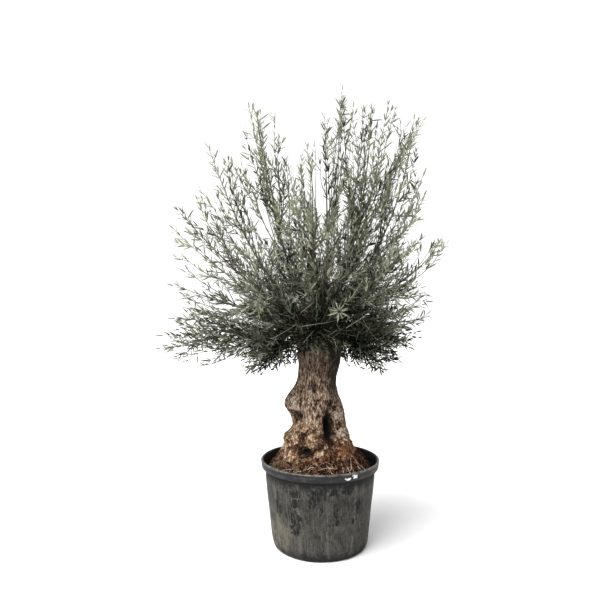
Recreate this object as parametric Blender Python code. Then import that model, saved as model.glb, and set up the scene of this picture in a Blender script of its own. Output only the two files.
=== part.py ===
"""An olive tree trained as a bonsai: a burled old trunk with a young crown, in a black nursery pot.

Metres, +Z up. The origin is the centre of the pot's flat underside.
Seen from the front, along +Y, +X is to the right. Azimuths run from +X towards +Y.
"""

import math

import bpy
import numpy as np

UP = np.array([0.0, 0.0, 1.0])
GOLDEN_ANGLE = math.radians(137.5)
GAP = 0.0003
FUSE_SOLVER = "MANIFOLD"

# Pot: a tapering shell with a broad rounded rim.
POT_HEIGHT = 0.565
RIM_RADIUS = 0.397
RIM_BAND = 0.055
RIM_WALL = 0.017
BODY_TOP_RADIUS = 0.370
BODY_FOOT_RADIUS = 0.315
POT_WALL = 0.006
POT_FLOOR = 0.008
FOOT_CURVE = 0.027
FOOT_CURVE_TURNS = (0, 30, 60, 90)
LIP = 0.006
POT_SIDES = 36

# Soil: it fills the pot and rises to a mound that the trunk stands on.
SOIL_EDGE_DROP = 0.075
SOIL_EDGE_MARGIN = 0.004
GROUND = 0.600
GROUND_RADIUS = 0.292
SOIL_SIDES = 36
SOIL_UNEVEN = 0.005

# Trunk: height above the pot's underside, sideways place of the centre line, and radius.
TRUNK_PROFILE = [
    (0.600, -0.012, 0.258),
    (0.640, -0.012, 0.234),
    (0.680, -0.012, 0.208),
    (0.740, -0.008, 0.186),
    (0.790, -0.008, 0.176),
    (0.870, -0.014, 0.168),
    (0.930, -0.018, 0.160),
    (1.000, -0.022, 0.138),
    (1.060, -0.022, 0.126),
    (1.110, -0.018, 0.126),
    (1.150, -0.010, 0.130),
    (1.190, -0.004, 0.136),
    (1.270, -0.002, 0.146),
    (1.400, -0.008, 0.166),
    (1.470, -0.012, 0.150),
    (1.530, -0.012, 0.105),
    (1.555, -0.012, 0.050),
]
TRUNK_RINGS = 24
TRUNK_SIDES = 28
# Burls stand out of the trunk and hollows sink in: name, azimuth in degrees, height,
# depth outward, half width in degrees and half height.
BURLS = [
    ("left_shoulder", 188, 0.945, 0.064, 30, 0.095),
    ("hollow_under_shoulder", 216, 0.862, -0.040, 19, 0.034),
    ("right_bulge", 332, 0.865, 0.024, 18, 0.050),
    ("hollow_over_bulge", 306, 0.930, -0.016, 14, 0.034),
    ("front_cleft", 291, 0.795, -0.072, 9, 0.078),
    ("cleft_knob", 297, 0.888, 0.026, 6, 0.018),
    ("right_foot_burl", 335, 0.735, 0.034, 22, 0.034),
    ("left_foot_burl", 188, 0.710, 0.042, 28, 0.036),
    ("front_foot_burl", 258, 0.700, 0.034, 20, 0.034),
    ("front_left_burl", 232, 0.760, 0.024, 16, 0.030),
    ("foot_cavity", 245, 0.650, -0.050, 12, 0.024),
    ("right_buttress", 312, 0.680, 0.030, 16, 0.045),
    ("back_knob", 60, 0.930, 0.034, 24, 0.050),
    ("back_hollow", 100, 0.840, -0.030, 22, 0.050),
    ("back_foot_burl", 130, 0.700, 0.036, 26, 0.045),
    ("back_buttress", 40, 0.690, 0.030, 22, 0.050),
]
# Low flutes wind up the trunk, and fade out below its head.
FLUTES = 7
FLUTE_DEPTH = 0.035
FLUTE_TWIST = 9.0
FLUTE_FADE = 0.4

# The limbs leave the trunk's head all round, each from its own short collar.
HEAD = np.array([-0.012, 0.0, 1.400])
COLLAR_REACH = 0.212
COLLAR_ROOT = 0.070
COLLAR_ROOT_RADIUS = 0.046
COLLAR_RADIUS = 0.024
COLLAR_SIDES = 6
LEAST_LIMB_ANGLE = math.radians(18.5)
START_OUTWARD = 0.35
START_UPWARD = 0.12
PUSHES = 60
LIMB_POINTS = 25
LIMB_HANDS = (0.35, 0.33)
BOUGH_RADIUS = 0.022
BOUGH_TIP_RADIUS = 0.015
BOUGH_LENGTH = 0.21
BOUGH_SIDES = 6
BOUGH_RINGS = 4

# One row for each limb and the mass of leaves at its end: name, azimuth of the furthest
# tip in degrees, its reach from the axis, its height, how far it turns up (1 is straight
# up), the spread of the wands round the limb, their number, and whether a bough carries
# the mass. The low masses start at the trunk's head itself.
LIMBS = [
    ("tall_centre", 75, 0.13, 3.07, 0.55, 0.17, 8, True),
    ("tall_left", 166, 0.46, 2.93, 0.40, 0.17, 8, True),
    ("tall_mid_right", 350, 0.36, 2.98, 0.60, 0.14, 8, True),
    ("tall_right", 5, 0.64, 2.86, 0.70, 0.16, 8, True),
    ("high_left", 172, 0.79, 2.70, 0.30, 0.12, 6, True),
    ("front_high", 262, 0.36, 2.45, 0.45, 0.20, 7, True),
    ("back_high", 100, 0.42, 2.64, 0.50, 0.18, 7, True),
    ("upper_left", 188, 0.96, 2.23, 0.12, 0.17, 8, True),
    ("middle_left", 176, 1.02, 1.73, 0.05, 0.13, 8, True),
    ("front_left", 228, 0.79, 1.90, 0.25, 0.20, 8, True),
    ("front_middle", 275, 0.58, 2.00, 0.35, 0.20, 8, True),
    ("front_right", 313, 0.70, 1.92, 0.30, 0.18, 8, True),
    ("middle_right", 2, 0.83, 2.05, 0.35, 0.11, 7, True),
    ("back_right", 44, 0.79, 2.07, 0.30, 0.18, 8, True),
    ("back_middle", 92, 0.79, 1.97, 0.30, 0.20, 8, True),
    ("back_left", 136, 0.85, 2.00, 0.25, 0.20, 8, True),
    ("low_left", 184, 1.14, 1.26, -0.12, 0.15, 8, False),
    ("hanging_left", 214, 0.56, 1.19, -0.35, 0.12, 6, False),
    ("front_low", 262, 0.55, 1.44, 0.05, 0.18, 8, False),
    ("hanging_right", 325, 0.56, 1.24, -0.20, 0.15, 8, False),
    ("low_right", 356, 0.75, 1.52, 0.10, 0.16, 8, False),
    ("back_low_right", 48, 0.75, 1.42, 0.05, 0.17, 8, False),
    ("back_low", 96, 0.77, 1.46, 0.05, 0.18, 8, False),
    ("back_low_left", 142, 0.79, 1.44, 0.05, 0.18, 8, False),
]

# Foliage: three-sided twigs, and blades that each stand for a spray of small leaves.
WAND_POINTS = 15
WAND_STEP = 2
# Where along the stem wands leave it and end, and how much nearer each try brings the tip.
WAND_ROOTS = (0.04, 0.44)
WAND_TIPS = (0.50, 0.98)
WAND_DRAWN_IN = (1.0, 0.7, 0.45, 0.25)
GOLDEN_SHARE = 0.618
TWIG_RINGS = 5
STEM_RADIUS = 0.011
WAND_RADIUS = 0.0065
TWIG_TIP_RADIUS = 0.003
SPRAY_LENGTH = 0.175
SPRAY_WIDTH = 0.21
SPRAY_THICKNESS = 0.036
SPRAY_WIDEST = 0.42
SPRAY_SPACING = 0.165
SPRAY_SUNK = 0.004
TIP_BLADE = 0.125
TIP_SUNK = 0.012
TIP_TWIST = 0.45
BLADE_SHARES = (1.0, 0.75, 0.55)
BLADE_TURN = math.radians(135)
BLADE_LEAN = (22, 48)
BLADES_FROM = 0.16
SPACE_MARGIN = 0.006
LIMB_MARGIN = 0.008
SHORTEST_WAND = 0.15


def unit(vectors):
    return vectors / np.linalg.norm(vectors, axis=-1, keepdims=True)


def new_material(name, colour, roughness):
    material = bpy.data.materials.new(name)
    material.use_nodes = True
    shader = material.node_tree.nodes["Principled BSDF"]
    shader.inputs["Base Color"].default_value = (*colour, 1.0)
    shader.inputs["Roughness"].default_value = roughness
    shader.inputs["Metallic"].default_value = 0.0
    return material


def new_object(name, points, faces, material, smooth_angle=None):
    mesh = bpy.data.meshes.new(name)
    mesh.from_pydata([tuple(point) for point in points], [], faces)
    mesh.materials.append(material)
    if smooth_angle is not None:
        mesh.shade_smooth()
        mesh.set_sharp_from_angle(angle=math.radians(smooth_angle))
    piece = bpy.data.objects.new(name, mesh)
    bpy.context.scene.collection.objects.link(piece)
    return piece


def fuse(body, pieces):
    """Join the pieces to the body by one Boolean union, and remove them."""
    group = bpy.data.collections.new(body.name + "_pieces")
    bpy.context.scene.collection.children.link(group)
    for piece in pieces:
        group.objects.link(piece)
    union = body.modifiers.new("union", "BOOLEAN")
    union.operation = "UNION"
    union.operand_type = "COLLECTION"
    union.collection = group
    union.solver = FUSE_SOLVER
    bpy.context.view_layer.objects.active = body
    bpy.ops.object.modifier_apply(modifier=union.name)
    for piece in pieces:
        bpy.data.objects.remove(piece)
    bpy.data.collections.remove(group)


def loft_faces(rings, sides):
    """Faces of a closed skin over rings of points, each ring turning left about the way on."""
    faces = [tuple(reversed(range(sides)))]
    for ring in range(rings - 1):
        for side in range(sides):
            here = ring * sides + side
            beside = ring * sides + (side + 1) % sides
            faces.append((here, beside, beside + sides, here + sides))
    last = (rings - 1) * sides
    faces.append(tuple(range(last, last + sides)))
    return faces


def turned_faces(rings, sides):
    """Faces of a turned skin whose first and last rings are single points on the axis."""
    faces = []
    top = rings * sides + 1
    for side in range(sides):
        beside = (side + 1) % sides
        faces.append((0, 1 + beside, 1 + side))
        last = 1 + (rings - 1) * sides
        faces.append((top, last + side, last + beside))
    for ring in range(rings - 1):
        for side in range(sides):
            here = 1 + ring * sides + side
            beside = 1 + ring * sides + (side + 1) % sides
            faces.append((here, beside, beside + sides, here + sides))
    return faces


def turned(name, profile, sides, material, smooth_angle, lift=None):
    """A solid turned about the axis. The profile runs from the axis, out, up and back to it."""
    points = [(0.0, 0.0, profile[0][1])]
    for radius, height in profile[1:-1]:
        for side in range(sides):
            angle = math.tau * side / sides
            raised = lift(radius, height, angle) if lift else height
            points.append((radius * math.cos(angle), radius * math.sin(angle), raised))
    points.append((0.0, 0.0, profile[-1][1]))
    faces = turned_faces(len(profile) - 2, sides)
    return new_object(name, points, faces, material, smooth_angle)


def body_radius(height):
    """Outer radius of the pot's tapering body at a height."""
    return BODY_FOOT_RADIUS + (BODY_TOP_RADIUS - BODY_FOOT_RADIUS) * height / (POT_HEIGHT - RIM_BAND)


def make_pot():
    foot = [
        (
            body_radius(0.0) - FOOT_CURVE * (1.0 - math.sin(math.radians(turn))),
            FOOT_CURVE * (1.0 - math.cos(math.radians(turn))),
        )
        for turn in FOOT_CURVE_TURNS
    ]
    band_foot = POT_HEIGHT - RIM_BAND
    outside = [
        (body_radius(band_foot), band_foot),
        (RIM_RADIUS - 0.010, band_foot + 0.003),
        (RIM_RADIUS - 0.002, band_foot + 0.014),
        (RIM_RADIUS, POT_HEIGHT - 0.022),
        (RIM_RADIUS - LIP, POT_HEIGHT - 0.004),
        (RIM_RADIUS - 2 * LIP, POT_HEIGHT),
    ]
    inside = [
        (RIM_RADIUS - RIM_WALL, POT_HEIGHT - LIP),
        (RIM_RADIUS - RIM_WALL - 0.002, POT_HEIGHT - 2 * LIP),
        (body_radius(band_foot) - POT_WALL, band_foot - 2 * LIP),
        (body_radius(FOOT_CURVE) - POT_WALL, FOOT_CURVE + POT_FLOOR),
        (body_radius(0.0) - FOOT_CURVE, POT_FLOOR),
    ]
    profile = [(0.0, 0.0)] + foot + outside + inside + [(0.0, POT_FLOOR)]
    plastic = new_material("pot_plastic", (0.045, 0.045, 0.042), 0.62)
    return turned("pot", profile, POT_SIDES, plastic, 40)


def wall_inside(height):
    """Radius of the soil at a height: the pot's inner wall less the gap, past its flat sides."""
    flat_sides = math.cos(math.pi / POT_SIDES)
    return (body_radius(height) - POT_WALL - 2 * GAP) * flat_sides


def soil_lift(radius, height, angle):
    """Uneven ground between the level patch under the trunk and the pot's wall."""
    if radius <= GROUND_RADIUS or height < POT_HEIGHT / 2:
        return height
    ripple = math.sin(3 * angle + 1.0) + 0.6 * math.sin(7 * angle) + 0.4 * math.sin(11 * angle + 2.0)
    return height + SOIL_UNEVEN * ripple


def make_soil():
    bottom = POT_FLOOR + GAP
    low = FOOT_CURVE + bottom
    edge = POT_HEIGHT - SOIL_EDGE_DROP
    edge_radius = wall_inside(edge) - SOIL_EDGE_MARGIN
    profile = [
        (0.0, bottom),
        (body_radius(0.0) - FOOT_CURVE - SOIL_EDGE_MARGIN, bottom),
        (wall_inside(low) - SOIL_EDGE_MARGIN, low + SOIL_EDGE_MARGIN),
        (edge_radius, edge - 0.020),
        (edge_radius - 0.004, edge),
        (0.5 * (edge_radius + GROUND_RADIUS), edge + 0.040),
        (GROUND_RADIUS + 0.006, GROUND - 0.016),
        (GROUND_RADIUS - 0.008, GROUND),
        (0.0, GROUND),
    ]
    earth = new_material("soil_earth", (0.105, 0.050, 0.026), 0.95)
    return turned("soil", profile, SOIL_SIDES, earth, 50, soil_lift)


def trunk_skin(height, angle):
    """The trunk's surface at a height and azimuth."""
    heights, centres, radii = np.array(TRUNK_PROFILE).T
    centre = np.interp(height, heights, centres)
    radius = np.interp(height, heights, radii)
    fade = np.clip((HEAD[2] - height) / FLUTE_FADE, 0.0, 1.0)
    radius *= 1.0 + FLUTE_DEPTH * fade * math.sin(FLUTES * angle + FLUTE_TWIST * height)
    for _, azimuth, level, depth, half_width, half_height in BURLS:
        turn = (angle - math.radians(azimuth) + math.pi) % math.tau - math.pi
        across = turn / math.radians(half_width)
        along = (height - level) / half_height
        radius += depth * math.exp(-across * across - along * along)
    return (centre + radius * math.cos(angle), radius * math.sin(angle), height)


def make_trunk(starts):
    """The trunk from its flat cut at ground level to its head, with a collar for each limb."""
    foot = GROUND + GAP
    top = TRUNK_PROFILE[-1][0]
    points = [
        trunk_skin(foot + (top - foot) * ring / (TRUNK_RINGS - 1), math.tau * side / TRUNK_SIDES)
        for ring in range(TRUNK_RINGS)
        for side in range(TRUNK_SIDES)
    ]
    bark = new_material("trunk_bark", (0.230, 0.160, 0.105), 0.92)
    trunk = new_object("trunk", points, loft_faces(TRUNK_RINGS, TRUNK_SIDES), bark, 50)
    collars = []
    for number, start in enumerate(starts):
        line = HEAD + np.outer([COLLAR_ROOT, 0.8 * COLLAR_REACH, COLLAR_REACH], start)
        radii = [COLLAR_ROOT_RADIUS, 1.25 * COLLAR_RADIUS, COLLAR_RADIUS]
        collars.append(tube(f"collar_{number}", line, radii, COLLAR_SIDES, bark))
    fuse(trunk, collars)
    return trunk


def bezier(start, start_hand, end_hand, end, count):
    t = np.linspace(0.0, 1.0, count)[:, None]
    s = 1.0 - t
    return s**3 * start + 3 * s * s * t * start_hand + 3 * s * t * t * end_hand + t**3 * end


def frames(line):
    """Directions along a line and two across it, turning as little as they can."""
    along = unit(np.gradient(line, axis=0))
    reference = UP if abs(along[0, 2]) < 0.9 else np.array([1.0, 0.0, 0.0])
    side = np.zeros_like(along)
    side[0] = unit(np.cross(along[0], reference))
    for i in range(1, len(along)):
        side[i] = unit(side[i - 1] - along[i] * np.dot(side[i - 1], along[i]))
    return along, side, np.cross(along, side)


def tube(name, line, radii, sides, material, ways=(None, None)):
    """A closed tapering tube round a line. Its flat ends can be given the way they face."""
    along, side, lift = frames(line)
    for end, way in zip((0, -1), ways):
        if way is not None:
            side[end] = unit(side[end] - way * np.dot(side[end], way))
            lift[end] = np.cross(way, side[end])
    angles = np.arange(sides) * math.tau / sides
    ring = np.cos(angles)[None, :, None] * side[:, None] + np.sin(angles)[None, :, None] * lift[:, None]
    points = line[:, None] + np.asarray(radii)[:, None, None] * ring
    return new_object(name, points.reshape(-1, 3), loft_faces(len(line), sides), material, 50)


def lengths_along(line):
    steps = np.linalg.norm(np.diff(line, axis=0), axis=1)
    return np.concatenate([[0.0], np.cumsum(steps)])


def resampled(line, count):
    """The same line through evenly spaced points."""
    distance = lengths_along(line)
    wanted = np.linspace(0.0, distance[-1], count)
    return np.stack([np.interp(wanted, distance, line[:, axis]) for axis in range(3)], axis=-1)


def limb_tip(limb):
    _, azimuth, reach, height, *_ = limb
    angle = math.radians(azimuth)
    return np.array([reach * math.cos(angle), reach * math.sin(angle), height])


def limb_starts():
    """The way each limb leaves the head, pushed apart until none crowds another."""
    starts = []
    for limb in LIMBS:
        chord = unit(limb_tip(limb) - HEAD)
        level = unit(np.array([chord[0], chord[1], 0.0]))
        outward = START_OUTWARD if chord[2] > 0 else 0.0
        starts.append(unit(chord + outward * level + START_UPWARD * UP))
    starts = np.array(starts)
    for _ in range(PUSHES):
        for i in range(len(starts)):
            for j in range(i):
                angle = math.acos(np.clip(np.dot(starts[i], starts[j]), -1.0, 1.0))
                if angle < LEAST_LIMB_ANGLE:
                    push = 0.5 * (LEAST_LIMB_ANGLE - angle) * unit(starts[i] - starts[j])
                    starts[i] = unit(starts[i] + push)
                    starts[j] = unit(starts[j] - push)
    return starts


def limb_line(limb, start):
    """The centre line of a limb, from its collar to the tip of its mass."""
    rise = limb[4]
    root = HEAD + start * (COLLAR_REACH + GAP)
    tip = limb_tip(limb)
    end = unit(unit(tip - root) * (1.0 - abs(rise)) + UP * rise)
    tip = tip - (TIP_BLADE - TIP_SUNK) * end
    length = np.linalg.norm(tip - root)
    near, far = LIMB_HANDS
    return bezier(root, root + near * length * start, tip - far * length * end, tip, LIMB_POINTS)


def way_at(line, start, place):
    """The way a limb's flat joint faces: at its collar, or where its bough ends."""
    return unit(line[place + 1] - line[place - 1]) if place else start


def bough_end(limb, line):
    """The number of the point on a limb's line where its bough ends, or 0 with no bough."""
    return int(np.searchsorted(lengths_along(line), BOUGH_LENGTH)) if limb[7] else 0


def distance_to_line(points, line):
    """Distance from each point to the nearest place on a line."""
    a, b = line[:-1], line[1:]
    step = b - a
    share = np.einsum("pkj,kj->pk", points[:, None] - a[None], step) / np.einsum("kj,kj->k", step, step)
    nearest = a[None] + np.clip(share, 0.0, 1.0)[..., None] * step[None]
    return np.linalg.norm(points[:, None] - nearest, axis=2).min(axis=1)


def in_own_space(points, number, lines, margin):
    """True where a point is nearer its own limb than any other, and clear of boughs and trunk."""
    distances = np.array([distance_to_line(points, line) for line in lines])
    own = distances[number].copy()
    distances[number] = np.inf
    clear = distances.min(axis=0) - own > 2 * margin
    for limb, line in zip(LIMBS, lines):
        end = bough_end(limb, line)
        if end:
            clear &= distance_to_line(points, line[: end + 1]) > BOUGH_RADIUS + LIMB_MARGIN
    head_distance = np.linalg.norm(points - HEAD, axis=1)
    axis_distance = np.hypot(points[:, 0] - HEAD[0], points[:, 1])
    beside_trunk = (points[:, 2] < HEAD[2]) & (axis_distance < COLLAR_REACH)
    return clear & (head_distance > COLLAR_REACH + LIMB_MARGIN) & ~beside_trunk


def wand_lines(number, limb, stem, lines):
    """Long shoots that leave the stem low down and run up beside it, spread round it.

    One that would leave its space is drawn in towards the stem, and then cut short.
    """
    rng = np.random.default_rng([11, number])
    along, side, lift = frames(stem)
    last = len(stem) - 1
    spread, count = limb[5], limb[6]
    wands = []
    for k in range(count):
        place = (k + 0.5) / count
        low = 1 + int(np.interp((k * GOLDEN_SHARE + 0.3) % 1.0, (0.0, 1.0), WAND_ROOTS) * last)
        high = int(np.interp(place, (0.0, 1.0), WAND_TIPS) * last)
        turn = GOLDEN_ANGLE * k + rng.uniform(0.0, 0.8)
        reach = spread * (1.35 - 0.75 * place) * rng.uniform(0.7, 1.25)
        out = math.cos(turn) * side[high] + math.sin(turn) * lift[high]
        root = stem[low]
        leave = unit(along[low] + 0.7 * out)
        arrive = unit(0.7 * along[-1] + 0.5 * along[high] + 0.3 * out + 0.25 * UP)
        for drawn_in in WAND_DRAWN_IN:
            tip = stem[high] + drawn_in * reach * out
            length = np.linalg.norm(tip - root)
            hands = (root + 0.3 * length * leave, tip - 0.35 * length * arrive)
            wand = bezier(root, *hands, tip, WAND_POINTS)
            inside = in_own_space(wand[2:], number, lines, SPACE_MARGIN + WAND_RADIUS)
            if inside.all():
                break
        kept = len(wand) if inside.all() else 2 + int(np.argmin(inside))
        if kept > 3 and lengths_along(wand[:kept])[-1] > SHORTEST_WAND:
            wands.append(wand[:kept])
    return wands


def blade_points(root, direction, across, length):
    """Root, widest place on both sides, ridge above and below, and tip of one blade."""
    through = np.cross(direction, across)
    middle = root + SPRAY_WIDEST * length * direction
    half_width = 0.5 * SPRAY_WIDTH * length
    half_thickness = 0.5 * SPRAY_THICKNESS * length
    return np.array([
        root,
        middle + half_width * across,
        middle + half_thickness * through,
        middle - half_width * across,
        middle - half_thickness * through,
        root + length * direction,
    ])


BLADE_FACES = [(0, 2, 1), (0, 3, 2), (0, 4, 3), (0, 1, 4), (5, 1, 2), (5, 2, 3), (5, 3, 4), (5, 4, 1)]


def blades_along(seed, line):
    """Blades at even steps along a twig, each turned on from the last, and one that ends it."""
    rng = np.random.default_rng(seed)
    distance = lengths_along(line)
    along, side, lift = frames(line)
    blades = []
    places = np.arange(BLADES_FROM * distance[-1], distance[-1] - 0.3 * SPRAY_SPACING, SPRAY_SPACING)
    turn = rng.uniform(0.0, math.tau)
    for place in places:
        point, forward, sideways = (
            np.array([np.interp(place, distance, values[:, axis]) for axis in range(3)])
            for values in (line, along, side)
        )
        forward = unit(forward)
        sideways = unit(sideways - forward * np.dot(sideways, forward))
        turn += BLADE_TURN + rng.uniform(-0.35, 0.35)
        out = math.cos(turn) * sideways + math.sin(turn) * np.cross(forward, sideways)
        lean = math.radians(rng.uniform(*BLADE_LEAN))
        direction = unit(math.cos(lean) * forward + math.sin(lean) * out)
        across = unit(np.cross(direction, out))
        length = SPRAY_LENGTH * rng.uniform(0.8, 1.15)
        blades.append((point - SPRAY_SUNK * direction, direction, across, length))
    root = line[-1] - TIP_SUNK * along[-1]
    across = unit(side[-1] + TIP_TWIST * lift[-1])
    blades.append((root, along[-1], across, TIP_BLADE))
    return blades


def make_mass(number, lines, start):
    """One mass of leaves: a stem, wands that branch from it, and blades, all fused."""
    limb = LIMBS[number]
    name = limb[0] + "_leaves"
    tint = 0.06 * ((number * GOLDEN_SHARE) % 1.0)
    green = new_material(name + "_green", (0.115 + tint, 0.130 + tint, 0.090 + 0.8 * tint), 0.70)
    first = bough_end(limb, lines[number])
    stem = lines[number][first:].copy()
    way = way_at(lines[number], start, first)
    if first:
        stem[0] += GAP * way
    wands = wand_lines(number, limb, stem, lines)[::WAND_STEP]
    stem_line = resampled(stem, TWIG_RINGS + 2)
    stem_radii = np.linspace(STEM_RADIUS, TWIG_TIP_RADIUS, len(stem_line))
    body = tube(name, stem_line, stem_radii, 3, green, (way, None))
    pieces = []
    twigs = [stem_line]
    for k, wand in enumerate(wands):
        line = resampled(wand, TWIG_RINGS)
        radii = np.linspace(WAND_RADIUS, TWIG_TIP_RADIUS, len(line))
        pieces.append(tube(f"{name}_wand_{k}", line, radii, 3, green))
        twigs.append(line)
    for k, line in enumerate(twigs):
        for j, (root, direction, across, length) in enumerate(blades_along([6, number, k], line)):
            for share in BLADE_SHARES:
                blade = blade_points(root, direction, across, share * length)
                if in_own_space(blade[1:], number, lines, SPACE_MARGIN).all():
                    pieces.append(new_object(f"{name}_{k}_{j}", blade, BLADE_FACES, green))
                    break
    fuse(body, pieces)
    return body


def make_bough(number, line, start):
    """The bare lower part of a limb, between its collar and its mass."""
    name = LIMBS[number][0] + "_bough"
    end = bough_end(LIMBS[number], line)
    bark = new_material(name + "_bark", (0.250, 0.190, 0.135), 0.88)
    points = resampled(line[: end + 1], BOUGH_RINGS)
    radii = np.linspace(BOUGH_RADIUS, BOUGH_TIP_RADIUS, len(points))
    return tube(name, points, radii, BOUGH_SIDES, bark, (start, way_at(line, start, end)))


def main():
    for old in list(bpy.data.objects):
        bpy.data.objects.remove(old)
    starts = limb_starts()
    lines = [limb_line(limb, start) for limb, start in zip(LIMBS, starts)]
    make_pot()
    make_soil()
    make_trunk(starts)
    for number, limb in enumerate(LIMBS):
        if bough_end(limb, lines[number]):
            make_bough(number, lines[number], starts[number])
        make_mass(number, lines, starts[number])


main()
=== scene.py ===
"""The looks of an olive tree trained as a bonsai, in a black nursery pot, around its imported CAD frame.

Metres, +Z up, in the CAD's own frame: the origin is the centre of the pot's flat underside.
Azimuths run from +X towards +Y. The front faces -Y.
"""

import math

import bpy
import numpy as np
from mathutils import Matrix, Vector, noise


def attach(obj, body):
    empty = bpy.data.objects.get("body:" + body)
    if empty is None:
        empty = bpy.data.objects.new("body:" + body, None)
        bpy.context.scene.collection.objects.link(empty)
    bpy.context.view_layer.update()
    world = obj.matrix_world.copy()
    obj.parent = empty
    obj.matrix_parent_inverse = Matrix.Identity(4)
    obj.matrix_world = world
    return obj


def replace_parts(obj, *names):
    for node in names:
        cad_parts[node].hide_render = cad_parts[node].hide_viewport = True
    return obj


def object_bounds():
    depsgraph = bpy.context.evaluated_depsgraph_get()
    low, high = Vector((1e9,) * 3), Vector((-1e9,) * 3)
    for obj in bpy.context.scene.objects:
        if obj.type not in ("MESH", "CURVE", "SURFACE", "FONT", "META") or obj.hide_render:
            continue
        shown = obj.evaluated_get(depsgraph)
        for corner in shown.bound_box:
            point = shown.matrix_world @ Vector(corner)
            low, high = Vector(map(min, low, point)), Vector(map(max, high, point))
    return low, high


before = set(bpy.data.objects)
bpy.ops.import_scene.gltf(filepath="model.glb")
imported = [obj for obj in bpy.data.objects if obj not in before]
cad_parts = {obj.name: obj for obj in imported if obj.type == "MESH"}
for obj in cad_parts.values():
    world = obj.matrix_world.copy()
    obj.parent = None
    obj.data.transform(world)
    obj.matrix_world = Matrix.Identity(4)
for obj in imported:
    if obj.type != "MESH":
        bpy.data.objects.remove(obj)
cad_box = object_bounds()

UP = np.array([0.0, 0.0, 1.0])
EVEN = (1.0, 1.0, 1.0)
GOLDEN_ANGLE = math.radians(137.5)
GAP = 0.0003


# ---- Meshes ----


def unit(vectors):
    return vectors / np.linalg.norm(vectors, axis=-1, keepdims=True)


def skin_triangles(rings, sides):
    """Triangles of a closed skin: a point, rings that turn left about the way on, and a point."""
    side = np.arange(sides)
    beside = (side + 1) % sides
    first = np.stack([np.zeros(sides, int), 1 + beside, 1 + side], axis=-1)
    last = 1 + (rings - 1) * sides
    top = np.full(sides, 1 + rings * sides)
    final = np.stack([top, last + side, last + beside], axis=-1)
    base = 1 + (np.arange(rings - 1) * sides)[:, None]
    here, there = base + side, base + beside
    lower = np.stack([here, there, there + sides], axis=-1).reshape(-1, 3)
    upper = np.stack([here, there + sides, here + sides], axis=-1).reshape(-1, 3)
    return np.concatenate([first, lower, upper, final])


def new_piece(name, bodies, materials, smooth=True, faces_of=None):
    """One mesh of several closed bodies, each given as its points and its triangles."""
    offsets = np.cumsum([0] + [len(points) for points, _ in bodies[:-1]])
    points = np.concatenate([points for points, _ in bodies])
    triangles = np.concatenate([faces + start for (_, faces), start in zip(bodies, offsets)])
    mesh = bpy.data.meshes.new(name)
    mesh.vertices.add(len(points))
    mesh.vertices.foreach_set("co", points.astype(np.float32).ravel())
    mesh.loops.add(triangles.size)
    mesh.loops.foreach_set("vertex_index", triangles.astype(np.int32).ravel())
    mesh.polygons.add(len(triangles))
    mesh.polygons.foreach_set("loop_start", np.arange(0, triangles.size, 3, dtype=np.int32))
    for material in materials:
        mesh.materials.append(material)
    if faces_of is not None:
        mesh.polygons.foreach_set("material_index", faces_of.astype(np.int32))
    mesh.update(calc_edges=True)
    if smooth:
        mesh.shade_smooth()
    else:
        mesh.shade_flat()
    piece = bpy.data.objects.new(name, mesh)
    bpy.context.scene.collection.objects.link(piece)
    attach(piece, "root")
    return piece


def lengths_along(line):
    steps = np.linalg.norm(np.diff(line, axis=0), axis=1)
    return np.concatenate([[0.0], np.cumsum(steps)])


def at_distances(values, distance, wanted):
    """Values that are given along a line, at wanted distances along it."""
    return np.stack([np.interp(wanted, distance, values[:, axis]) for axis in range(3)], axis=-1)


def resampled(line, count):
    """The same line through evenly spaced points."""
    distance = lengths_along(line)
    return at_distances(line, distance, np.linspace(0.0, distance[-1], count))


def bezier(start, start_hand, end_hand, end, count):
    t = np.linspace(0.0, 1.0, count)[:, None]
    s = 1.0 - t
    return s**3 * start + 3 * s * s * t * start_hand + 3 * s * t * t * end_hand + t**3 * end


def bent(points, count):
    """A line from the first of three points to the last, drawn towards the middle one."""
    start, middle, end = np.array(points)
    return bezier(start, (start + 2 * middle) / 3, (end + 2 * middle) / 3, end, count)


def frames(line):
    """Directions along a line and two across it, turning as little as they can."""
    along = unit(np.gradient(line, axis=0))
    reference = UP if abs(along[0, 2]) < 0.9 else np.array([1.0, 0.0, 0.0])
    side = np.zeros_like(along)
    side[0] = unit(np.cross(along[0], reference))
    for i in range(1, len(along)):
        side[i] = unit(side[i - 1] - along[i] * np.dot(side[i - 1], along[i]))
    return along, side, np.cross(along, side)


def tube(line, radii, sides, relief=None):
    """A closed tapering tube round a line, with rounded ends."""
    along, side, lift = frames(line)
    radii = np.asarray(radii, float)
    angles = np.arange(sides) * math.tau / sides
    ring = np.cos(angles)[None, :, None] * side[:, None] + np.sin(angles)[None, :, None] * lift[:, None]
    radius = radii[:, None] * np.ones(sides)
    if relief is not None:
        radius = radius * relief(line[:, None] + radii[:, None, None] * ring)
    points = line[:, None] + radius[..., None] * ring
    ends = [line[0] - 0.5 * radii[0] * along[0], line[-1] + 0.8 * radii[-1] * along[-1]]
    points = np.concatenate([ends[:1], points.reshape(-1, 3), ends[1:]])
    return points, skin_triangles(len(line), sides)


def tapered(line, first, last, sides):
    """A tube whose radius changes evenly from one end to the other."""
    return tube(line, np.linspace(first, last, len(line)), sides)


def around(azimuth, height, radius):
    """The point at an azimuth in degrees, a height and a distance from the axis."""
    angle = math.radians(azimuth)
    return np.array([radius * math.cos(angle), radius * math.sin(angle), height])


# ---- Materials ----


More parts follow.
